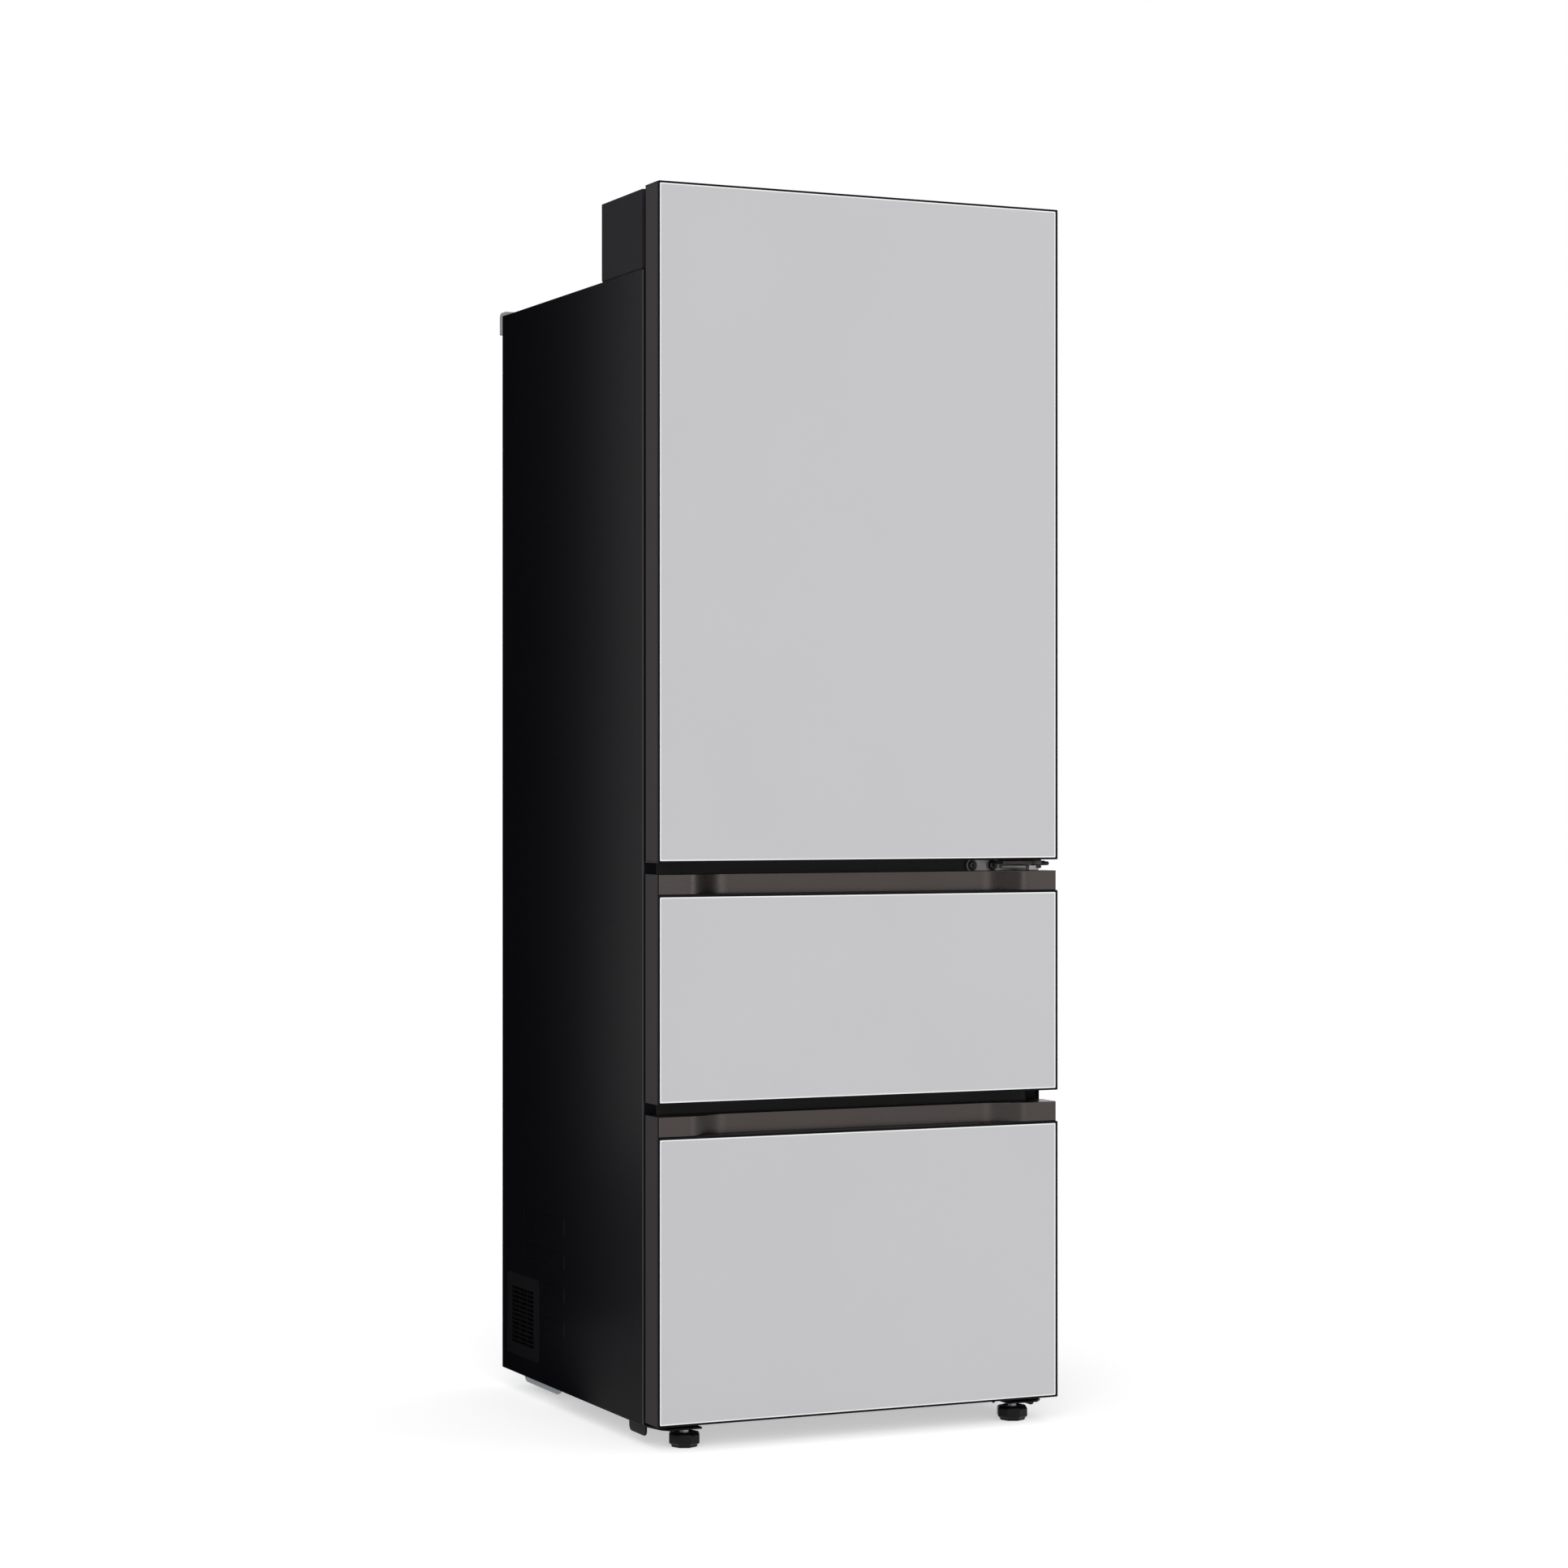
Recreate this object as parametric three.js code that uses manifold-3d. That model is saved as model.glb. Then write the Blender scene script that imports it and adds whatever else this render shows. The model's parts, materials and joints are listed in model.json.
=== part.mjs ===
// Free-standing kimchi refrigerator: one hinged upper door over two full-extension drawers.
// Millimetres, +Z up, +X to the right seen from the front, front towards -Y.
// The origin lies on the floor, under the centre of the whole appliance.

import * as THREE from 'three';
import { mergeVertices } from 'three/addons/utils/BufferGeometryUtils.js';
import Module from 'manifold-3d';

const wasm = await Module();
wasm.setup();

// ---------------------------------------------------------------- driving dimensions

// Cabinet
const cabinetWidth = 666;
const cabinetDepth = 599;
const cabinetBottom = 31;
const cabinetTop = 1744;
const skin = 1;
const flangeWidth = 22;
const sideInsulation = 50;
const rearInsulation = 58;
const topInsulation = 51;
const floorInsulation = 44;
const linerWall = 2;
const linerLip = 8;

// Machine room at the bottom rear
const machineRoomDepth = 233;
const machineRoomTop = 290;
const machineInsulation = 43;

// Fronts, stacked from the floor up
const lowerFrontBottom = 37;
const lowerPanelHeight = 425;
const trimHeight = 30;
const lowerGap = 18;
const middlePanelHeight = 308;
const upperGap = 17;
const doorAboveCabinet = 122;
const openingBelowTop = 20;
const openingAboveBottom = 22;

// Depth of a front, and the gasket space behind it
const panelThickness = 5;
const frontBodyDepth = 47;
const gasketSpace = 12;
const gasketWidth = 12;
const gasketOffset = 6;
const gasketHollow = 3;

// Recessed handle trims and the finger pockets under them
const trimSetback = 4.5;
const trimEndInset = 2;
const trimFlatEnd = 38;
const trimCurveLength = 84;
const trimCurveEntry = 32;
const trimCurveExit = 46;
const trimRecess = 21.5;
const cheekSetback = 1.5;
const pocketDepth = 26;
const pocketLipWall = 2;
const pocketSideInset = 122;

// Running clearances
const seat = 0.3;
const fit = 0.5;

// Top box over the hinge
const topBoxDepth = 162;
const topBoxHeight = 119;
const topBoxWall = 2.5;
const jointLine = 1.5;
const jointDepth = 1;
const board = {
  fromLeft: 143, width: 170, fromBox: 26, post: 8, postRadius: 4, postInset: 10, thickness: 1.6,
};
const boardTransformer = { inset: 30, width: 42, ahead: 24, depth: 36, height: 34 };
const boardCapacitors = { count: 3, radius: 8, inset: 24, pitch: 22, ahead: 34, height: 28 };
const boardConnector = { inset: 24, behind: 10, depth: 10, height: 14 };
const boardSunk = 0.6;

// Door hinges
const hingeFromSide = 22;
const hingeBehindPanelRear = 25;
const hingePinRadius = 5;
const hingePinLength = 27;
const hingeArmThickness = 3;
const hingeArmWidth = 16;
const hingePlateHeight = 18;
const hingePlateThickness = 3;
const topPinRadius = 4;
const topPinLength = 15;
const doorCapHeight = 2.5;
const notchBelowTop = 4;
const notchHeight = 8;
const notchInFront = 10;
const notchBeside = 2;
const notchIntoLiner = 10;
const screwSpacing = 36;
const screwFromSide = 116;
const screwHeadRise = 2;
const screwHeadWall = 2;
const hingeArmAboveTrim = 4;
const hingeTipWall = 4;
const hingeBushWall = 3;
const hingeArmRoot = { inner: 42, outer: 11 };
const hingeStopper = { inside: 3, fromSide: 2, front: 4, rear: 6, rise: 3 };
const topHingeFoot = { thickness: 4, behindFront: 28, ahead: 14, behind: 60, inner: 18, outer: 6 };
const topHingeWeb = { thickness: 4, run: 48, rise: 71 };
const topHingePostWider = 6;

// Door inside
const doorLinerWall = 2;
const doorDikeInset = 18;
const doorDikeWidth = 22;
const doorDikeHeight = 71;
const doorDikeCloser = 4;
const doorLedgeBack = 6;
const doorBinDepth = 112;
const doorBinWall = 2.5;
const doorBinCorner = 24;
const doorBinBackOpening = 40;
const doorBinLedge = 8;
const doorBins = [
  { name: 'door_bin_lower', level: 960, height: 120 },
  { name: 'door_bin_upper', level: 1290, height: 120 },
];

// Shelves and the cooling unit of the upper compartment
const shelves = [
  { name: 'lower_shelf', level: 1160 },
  { name: 'upper_shelf', level: 1425 },
];
const shelfThickness = 5;
const shelfRimHeight = 14;
const shelfRimWidth = 12;
const shelfRimOverlap = 1;
const shelfDepth = 350;
const shelfBehindGap = 19.7;
const ledgeWidth = 9;
const ledgeHeight = 8;
const coolerWidth = 440;
const coolerDepth = 44;
const coolerWall = 2;
const coolerAboveFloor = 110;
const coolerBelowCeiling = 133;
const coolerChamferDepth = 14;
const coolerChamferHeight = 24;
const coolerOutlets = { count: 3, width: 90, pitch: 120, height: 16, belowTop: 54, aboveBottom: 40 };
const coilWidth = 340;
const coilHeight = 170;
const coilFins = 13;
const coilFinThickness = 1.2;
const coilTubeRadius = 4;
const coilTubeRows = 2;
const coilTubeEnd = 8;
const coilAboveBottom = 120;
const coilBehindCover = 4;

// Drawer slides: cabinet member, intermediate member and drawer member
const slideFromFront = 4;
const slideFromRear = 34;
const slideHeight = 45.6;
const slideDepth = 12.7;
const slideSteel = 1.4;
const slideBelowOpening = 60;
const slideBallRace = 2.6;
const slideMemberStep = 2.4;
const intermediateShorter = 15;
const slideLip = 2;
const slideRace = { from: 5.6, to: 8.6, taper: 0.8, fromFront: 20, fromRear: 6 };

// Drawer carriages and bins
const carriageWall = 1.6;
const carriageOverlap = 14;
const carriageShelf = 12;
const carriageRise = 28;
const carriageFromSlide = 1.3;
const carriageBar = { depth: 12, half: 12 };
const carriageBracket = { width: 36, drop: 64 };
const carriageJoints = { shares: [0.12, 0.5, 0.88], halfLength: 18, halfHeight: 8 };
const drawerFlange = 6.2;
const binWall = 2.5;
const binTaper = 5;
const binRim = 10;
const binFloorGap = 12;
const binFrontGap = 22;
const binRearGap = 14;
const binBesideShelf = 2;
const binRimPlay = 1;

// Feet, leg brackets, rollers and rear spacers
const footHeight = 23;
const footWidth = 46;
const footFromSide = 58;
const footBehindFront = 41;
const footSides = 8;
const footBevel = { bottom: 4, bottomRise: 5, top: 3, topDrop: 4 };
const studRadius = 5;
const studAboveNut = 1.5;
const weldNutWall = 4;
const legPlateThickness = 3;
const legPlateFromSide = 6;
const legPlateFrontWidth = 71;
const legPlateRearWidth = 88;
const legPlateFrontFromFace = 18;
const legPlateDepth = 112;
const legPlateNose = { cut: 10, run: 20, depth: 10, behindFace: 2 };
const legFlangeDrop = 17;
const legFlangeFront = [[0, 6], [3, 1.5], [7, 0]];
const legFlangeRear = [[8, 0], [3, 2], [0, 7]];
const legGusset = { run: 4, drop: 9, aheadOfRear: 20 };
const weldNutHeight = 3;
const rollerRadius = 15;
const rollerWidth = 18;
const rollerFromSide = 62;
const rollerFromRear = 53;
const axleRadius = 3;
const baseSheet = 1.5;
const baseRim = 10;
const baseFlangeFromSide = 33;
const baseFlangeDrop = 23;
const baseFlangeFront = { behindWall: 34, noseRun: 6, noseDrop: 9, run: 26, toe: 12, rise: 3 };
const baseFlangeRear = { aheadOfRear: 14, heel: 10, cut: 3 };
const axleEar = { half: 11, outerGap: 4, innerGap: 2.5 };
const axleBeyond = 6;
const spacerDepth = 13;
const spacerHeight = 36;
const spacerWidth = 18;
const spacerAboveTop = 6;
const spacerWall = 2;
const spacerCorner = 8;
const spacerOverTop = 14;
const spacerHollow = 12;

// Side grilles of the machine room, as distances ahead of the rear edge and above the floor;
// the slots start at a margin behind and above the frame's front bottom corner
const ventFrame = { front: 169, rear: 23, bottom: 59, top: 192, corner: 8 };
const ventSlots = {
  columns: 3, rows: 13, frontMargin: 28, bottomMargin: 20, pitchAcross: 33.6, pitchUp: 7.2,
};
const ventBar = 3;
const ventThickness = 2.5;

// Pressed ribs on the sides: [front, rear, bottom, top], from the front face and the floor
const pressedRibs = [
  [385, 563, 277, 301],
  [385, 563, 223, 245.5],
  [385, 481, 171, 193],
  [385, 481, 116, 139],
];
const pressDepth = 1.2;
const backRibs = { count: 4, pitch: 130, width: 44, height: 2, slope: 8, fromEnds: 90 };

// Machine room cover and contents; the profile lists shares of the compressor's radius and height
const coverSlots = {
  rows: 8, columns: 4, width: 88, height: 7, pitchAcross: 118, pitchUp: 15, aboveBottom: 70,
};
const compressorRadius = 72;
const compressorHeight = 165;
const compressorX = 150;
const compressorProfile = [
  [0, 0.036], [0.7, 0.036], [0.93, 0.097], [1, 0.206], [1, 0.436], [1.04, 0.448],
  [1.04, 0.485], [1, 0.497], [1, 0.758], [0.9, 0.891], [0.6, 0.97], [0, 1],
];
const compressorSunk = 4;
const compressorPlate = { halfLength: 100, halfWidth: 62, corner: 16, thickness: 3 };
const grommets = { radius: 11, fromMiddleX: 86, fromMiddleY: 48 };
const grommetHeight = 12;
const relayBox = { halfWidth: 30, out: 18, into: 12, bottom: 70, height: 50 };
const pipeRadius = 3.5;
const pipeFromAxis = 40;
const pipeRun = [[0, 0, -40], [0, 0, -4], [-16, 6, 18], [-60, 12, 24]];
const fanRadius = 78;
const fanHub = 22;
const fanBlades = 5;
const fanX = -88;
const fanAboveBase = 125;
const fanDepth = 30;
const fanShaftRadius = 3;
const fanShaftSunk = 4;
const blade = {
  thickness: 2.4, pitch: 0.62, twist: 0.25, sweep: 0.48, rootShare: 0.7, tailShare: 0.6, sunk: 2,
};
const shroudThickness = 3;
const shroudFromFan = 12;
const shroudFromWalls = 8;
const shroudBelowTop = 12;
const shroudRing = { clearance: 4, wall: 4, depth: 22 };
const shroudArms = { count: 3, half: 4, root: 10, depth: 5, into: 10 };
const motor = { gap: 6, length: 26 };
const condenserWidth = 96;
const condenserFromVent = 30;
const condenserFromWalls = 22;
const condenserBelowTop = 40;
const condenserEndPlate = 1.5;
const condenserFins = 20;
const condenserFinThickness = 1.2;

// ---------------------------------------------------------------- derived places

const halfWidth = cabinetWidth / 2;
const totalDepth = panelThickness + frontBodyDepth + gasketSpace + cabinetDepth + spacerDepth;
const frontFace = -totalDepth / 2;
const panelRear = frontFace + panelThickness;
const frontRear = panelRear + frontBodyDepth;
const cabinetFront = frontRear + gasketSpace;
const cabinetRear = cabinetFront + cabinetDepth;
const machineRoomFront = cabinetRear - machineRoomDepth;

const lowerPanelTop = lowerFrontBottom + lowerPanelHeight;
const lowerTrimTop = lowerPanelTop + trimHeight;
const middleFrontBottom = lowerTrimTop + lowerGap;
const middlePanelTop = middleFrontBottom + middlePanelHeight;
const middleTrimTop = middlePanelTop + trimHeight;
const doorBottom = middleTrimTop + upperGap;
const doorTop = cabinetTop + doorAboveCabinet;

const cavityHalf = halfWidth - skin - sideInsulation - linerWall;
const cavityRear = cabinetRear - skin - rearInsulation - linerWall;
const upperCavity = {
  bottom: doorBottom + openingAboveBottom,
  top: cabinetTop - skin - topInsulation - linerWall,
};
const middleCavity = {
  bottom: middleFrontBottom + openingAboveBottom,
  top: middleTrimTop - openingBelowTop,
};
const lowerCavity = {
  bottom: cabinetBottom + skin + floorInsulation + linerWall,
  top: lowerTrimTop - openingBelowTop,
};
const stepFront = machineRoomFront - machineInsulation - linerWall;
const stepTop = machineRoomTop + machineInsulation + linerWall;

const flangeInner = halfWidth - flangeWidth;
const coverHalf = flangeInner - fit;
const hingeX = halfWidth - hingeFromSide;
const hingeY = panelRear + hingeBehindPanelRear;
const legPlateBottom = cabinetBottom - legPlateThickness;
const machineMiddle = (machineRoomFront + cabinetRear) / 2;
const baseTop = cabinetBottom + baseSheet;
const ventInner = halfWidth - pressDepth - skin - seat - ventThickness;
const coolerFront = cavityRear - seat - coolerDepth;
const shelfRear = coolerFront - shelfBehindGap;
const shelfFront = shelfRear - shelfDepth;

// ---------------------------------------------------------------- finishes

const finish = (color, roughness, metalness) =>
  new THREE.MeshStandardMaterial({ color, roughness, metalness });

const panelGrey = finish('#c5c5c7', 0.42, 0.1);
const frameBrown = finish('#393636', 0.5, 0.3);
const trimBronze = finish('#4d4846', 0.32, 0.9);
const skinBlack = finish('#16171a', 0.4, 0.5);
const boxBlack = finish('#28282c', 0.55, 0);
const coverBlack = finish('#1c1c1c', 0.6, 0);
const linerWhite = finish('#e8eaec', 0.45, 0);
const foamCream = finish('#e5d9b0', 0.9, 0);
const rubberGrey = finish('#55575a', 0.8, 0);
const zincSteel = finish('#a9adb0', 0.35, 1);
const galvanised = finish('#8c9194', 0.45, 0.9);
const legBlack = finish('#17181a', 0.6, 0);
const clearTray = finish('#cfd8dd', 0.15, 0);
const binGrey = finish('#b9bdc0', 0.5, 0);
const shelfGlass = finish('#c4d4d2', 0.1, 0);
const aluminium = finish('#b4b7b9', 0.4, 0.9);
const motorBlack = finish('#101113', 0.5, 0.2);
const boardGreen = finish('#2d5a3c', 0.6, 0);
const spacerGrey = finish('#6e6e6e', 0.6, 0);

// ---------------------------------------------------------------- making solids

function solid(geometry) {
  const bare = geometry.clone();
  bare.deleteAttribute('normal');
  bare.deleteAttribute('uv');
  const merged = mergeVertices(bare, 1e-4);
  return new wasm.Manifold(new wasm.Mesh({
    numProp: 3,
    vertProperties: Float32Array.from(merged.attributes.position.array),
    triVerts: Uint32Array.from(merged.index.array),
  }));
}

const join = (first, ...others) => others.reduce((whole, other) => whole.add(other), first);
const cut = (first, ...others) => others.reduce((rest, other) => rest.subtract(other), first);

function block([x0, x1], [y0, y1], [z0, z1]) {
  const geometry = new THREE.BoxGeometry(x1 - x0, y1 - y0, z1 - z0);
  return solid(geometry.translate((x0 + x1) / 2, (y0 + y1) / 2, (z0 + z1) / 2));
}

// The same box on the left (side -1) or on the right (side 1); inner and outer count from the centre.
function sideBlock(side, [inner, outer], y, z) {
  return block([Math.min(side * inner, side * outer), Math.max(side * inner, side * outer)], y, z);
}

const span = (half) => [-half, half];

function outline(points) {
  return new THREE.Shape(points.map(([u, v]) => new THREE.Vector2(u, v)));
}

function roundedRect([u0, u1], [v0, v1], radius) {
  const shape = new THREE.Shape();
  shape.absarc(u1 - radius, v0 + radius, radius, -Math.PI / 2, 0);
  shape.absarc(u1 - radius, v1 - radius, radius, 0, Math.PI / 2);
  shape.absarc(u0 + radius, v1 - radius, radius, Math.PI / 2, Math.PI);
  shape.absarc(u0 + radius, v0 + radius, radius, Math.PI, 1.5 * Math.PI);
  shape.closePath();
  return shape;
}

function extruded(shape, length, curveSegments) {
  return new THREE.ExtrudeGeometry(shape, { depth: length, bevelEnabled: false, curveSegments });
}

// Outlines in XY, YZ and XZ, extruded along the third axis.
function prismZ(shape, [z0, z1], curveSegments = 4) {
  return solid(extruded(shape, z1 - z0, curveSegments).translate(0, 0, z0));
}

const alongX = new THREE.Matrix4().makeBasis(
  new THREE.Vector3(0, 1, 0), new THREE.Vector3(0, 0, 1), new THREE.Vector3(1, 0, 0));
const alongMinusY = new THREE.Matrix4().makeBasis(
  new THREE.Vector3(1, 0, 0), new THREE.Vector3(0, 0, 1), new THREE.Vector3(0, -1, 0));

function prismX(shape, [x0, x1], curveSegments = 4) {
  return solid(extruded(shape, x1 - x0, curveSegments).translate(0, 0, x0).applyMatrix4(alongX));
}

function prismY(shape, [y0, y1], curveSegments = 4) {
  return solid(extruded(shape, y1 - y0, curveSegments).translate(0, 0, -y1).applyMatrix4(alongMinusY));
}

function rodX(radius, [x0, x1], y, z, sides = 16) {
  const geometry = new THREE.CylinderGeometry(radius, radius, x1 - x0, sides).rotateZ(Math.PI / 2);
  return solid(geometry.translate((x0 + x1) / 2, y, z));
}

function rodY(radius, [y0, y1], x, z, sides = 16) {
  const geometry = new THREE.CylinderGeometry(radius, radius, y1 - y0, sides);
  return solid(geometry.translate(x, (y0 + y1) / 2, z));
}

function rodZ(radius, [z0, z1], x, y, sides = 16) {
  const geometry = new THREE.CylinderGeometry(radius, radius, z1 - z0, sides).rotateX(Math.PI / 2);
  return solid(geometry.translate(x, y, (z0 + z1) / 2));
}

// A profile of [radius, height] points from the bottom up, turned about a vertical axis.
function turnedZ(profile, x, y, z, sides = 24) {
  const points = profile.map(([r, h]) => new THREE.Vector2(r, h));
  const geometry = new THREE.LatheGeometry(points, sides).rotateX(Math.PI / 2);
  return solid(geometry.translate(x, y, z));
}

// A round tube of a given radius along a list of points.
function tube(points, radius, steps, sides = 6) {
  const section = new THREE.Shape();
  section.absarc(0, 0, radius, 0, 2 * Math.PI);
  const path = new THREE.CatmullRomCurve3(points.map((p) => new THREE.Vector3(...p)));
  const geometry = new THREE.ExtrudeGeometry(section, {
    extrudePath: path, steps, curveSegments: sides, bevelEnabled: false,
  });
  return solid(geometry);
}

// A box whose floor is smaller than its rim by the taper on every side.
function tapered([x0, x1], [y0, y1], [z0, z1], taper) {
  const geometry = new THREE.BoxGeometry(x1 - x0, y1 - y0, z1 - z0);
  const place = geometry.attributes.position;
  for (let i = 0; i < place.count; i += 1) {
    if (place.getZ(i) < 0) {
      place.setX(i, place.getX(i) - Math.sign(place.getX(i)) * taper);
      place.setY(i, place.getY(i) - Math.sign(place.getY(i)) * taper);
    }
  }
  return solid(geometry.translate((x0 + x1) / 2, (y0 + y1) / 2, (z0 + z1) / 2));
}

const appliance = new THREE.Group();

function addPiece(group, name, shape, material) {
  const { vertProperties, triVerts } = shape.getMesh();
  const geometry = new THREE.BufferGeometry();
  geometry.setAttribute('position', new THREE.BufferAttribute(vertProperties, 3));
  geometry.setIndex(new THREE.BufferAttribute(triVerts, 1));
  geometry.computeVertexNormals();
  const mesh = new THREE.Mesh(geometry, material);
  mesh.name = name;
  group.add(mesh);
  return mesh;
}

const sides = [['left', -1], ['right', 1]];

// ---------------------------------------------------------------- cabinet

const cabinet = new THREE.Group();
appliance.add(cabinet);

const behindFront = (distance) => frontFace + distance;

function pressedRib(side, [front, rear, bottom, top], grow, [inner, outer]) {
  return sideBlock(side, [halfWidth - inner, halfWidth - outer],
    [behindFront(front) - grow, behindFront(rear) + grow], [bottom - grow, top + grow]);
}

function ventOutline(grow) {
  return roundedRect([cabinetRear - ventFrame.front - grow, cabinetRear - ventFrame.rear + grow],
    [ventFrame.bottom - grow, ventFrame.top + grow], ventFrame.corner + grow);
}

function ventWindow(side) {
  const x = side * halfWidth;
  return prismX(ventOutline(0), [x - 3 * skin, x + 3 * skin], 3);
}

function makeCabinetShell() {
  const inside = halfWidth - skin;
  let shell = cut(
    block(span(halfWidth), [cabinetFront, cabinetRear], [cabinetBottom, cabinetTop]),
    block(span(inside), [cabinetFront + skin, cabinetRear + 1], [machineRoomTop + skin, cabinetTop - skin]),
    block(span(inside), [cabinetFront + skin, machineRoomFront], [cabinetBottom + skin, cabinetTop - skin]),
    block(span(inside), [machineRoomFront + skin, cabinetRear + 1], [cabinetBottom - 1, machineRoomTop]),
    block(span(flangeInner), [cabinetFront - 1, cabinetFront + 2 * skin],
      [cabinetBottom + flangeWidth, cabinetTop - flangeWidth]),
  );
  for (const [, side] of sides) {
    for (const rib of pressedRibs) {
      shell = shell.add(pressedRib(side, rib, skin, [pressDepth + skin, skin / 2]));
      shell = shell.subtract(pressedRib(side, rib, 0, [pressDepth, -1]));
    }
    shell = shell.subtract(ventWindow(side));
  }
  addPiece(cabinet, 'cabinet_shell', shell, skinBlack);
}

const cavities = [
  { name: 'upper', ...upperCavity },
  { name: 'middle', ...middleCavity },
  { name: 'lower', ...lowerCavity },
];

// The space of one compartment, grown by a wall; the lower one rises over the machine room.
function cavitySpace({ name, bottom, top }, wall) {
  const space = block(span(cavityHalf + wall), [cabinetFront - 1, cavityRear + wall],
    [bottom - wall, top + wall]);
  if (name !== 'lower') return space;
  return space.subtract(block(span(halfWidth), [stepFront + wall, cabinetRear], [0, stepTop - wall]));
}

function makeFoam() {
  const inside = halfWidth - skin;
  const behindFlange = cabinetFront + skin;
  let foam = join(
    block(span(inside), [behindFlange, machineRoomFront], [cabinetBottom + skin, cabinetTop - skin]),
    block(span(inside), [behindFlange, cabinetRear - skin], [machineRoomTop + skin, cabinetTop - skin]),
  );
  foam = foam.subtract(block(span(flangeInner), [behindFlange - 1, cabinetFront + linerWall],
    [cabinetBottom + flangeWidth, cabinetTop - flangeWidth]));
  for (const cavity of cavities) foam = foam.subtract(cavitySpace(cavity, linerWall));
  for (const [, side] of sides) {
    for (const rib of pressedRibs) {
      foam = foam.subtract(pressedRib(side, rib, skin + seat, [pressDepth + skin + seat, -1]));
    }
  }
  addPiece(cabinet, 'insulation_foam', foam, foamCream);
}

const linerFlanges = {
  upper: [upperCavity.bottom - linerLip, cabinetTop - flangeWidth - fit],
  middle: [middleCavity.bottom - linerLip, middleCavity.top + linerLip],
  lower: [cabinetBottom + flangeWidth + fit, lowerCavity.top + linerLip],
};

function makeLiners() {
  for (const cavity of cavities) {
    let liner = cavitySpace(cavity, linerWall);
    liner = liner.subtract(block(span(halfWidth), [cabinetFront - 2, cabinetFront], [0, cabinetTop]));
    liner = liner.add(block(span(coverHalf), [cabinetFront, cabinetFront + linerWall],
      linerFlanges[cavity.name]));
    liner = liner.subtract(cavitySpace(cavity, 0));
    if (cavity.name === 'upper') {
      for (const { level } of shelves) {
        for (const [, side] of sides) {
          liner = liner.add(sideBlock(side, [cavityHalf - ledgeWidth, cavityHalf + linerWall / 2],
            [shelfFront, shelfRear], [level - ledgeHeight, level - seat]));
        }
      }
    }
    addPiece(cabinet, `${cavity.name}_liner`, liner, linerWhite);
  }
}

function makeMullionCovers() {
  const gaps = [
    ['upper', linerFlanges.middle[1], linerFlanges.upper[0]],
    ['lower', linerFlanges.lower[1], linerFlanges.middle[0]],
  ];
  for (const [name, below, above] of gaps) {
    const cover = block(span(coverHalf), [cabinetFront, cabinetFront + linerWall],
      [below + seat, above - seat]);
    addPiece(cabinet, `${name}_mullion_cover`, cover, coverBlack);
  }
}

function makeBackPanel() {
  const { count, pitch, width, height, slope, fromEnds } = backRibs;
  const inside = halfWidth - skin - seat;
  const rear = cabinetRear;
  let panel = block(span(inside), [rear - skin, rear],
    [machineRoomTop + skin + seat, cabinetTop - skin - seat]);
  for (let i = 0; i < count; i += 1) {
    const x = (i - (count - 1) / 2) * pitch;
    const section = outline([
      [x - width / 2, rear - skin / 2],
      [x + width / 2, rear - skin / 2],
      [x + width / 2 - slope, rear + height],
      [x - width / 2 + slope, rear + height],
    ]);
    panel = panel.add(prismZ(section, [machineRoomTop + fromEnds, cabinetTop - fromEnds]));
  }
  addPiece(cabinet, 'back_panel', panel, galvanised);
}

makeCabinetShell();
makeFoam();
makeLiners();
makeMullionCovers();
makeBackPanel();

// ---------------------------------------------------------------- upper compartment

function makeShelves() {
  const half = cavityHalf - 2 * fit;
  for (const { name, level } of shelves) {
    const shelf = join(
      block(span(half), [shelfFront, shelfRear], [level, level + shelfThickness]),
      block(span(half - ledgeWidth - fit), [shelfFront, shelfFront + shelfRimWidth],
        [level + shelfThickness - shelfRimHeight, level + shelfRimOverlap]),
      block(span(half), [shelfRear - shelfRimWidth, shelfRear], [level, level + shelfRimHeight]),
    );
    addPiece(cabinet, name, shelf, shelfGlass);
  }
}

const coolerBottom = upperCavity.bottom + coolerAboveFloor;

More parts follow.
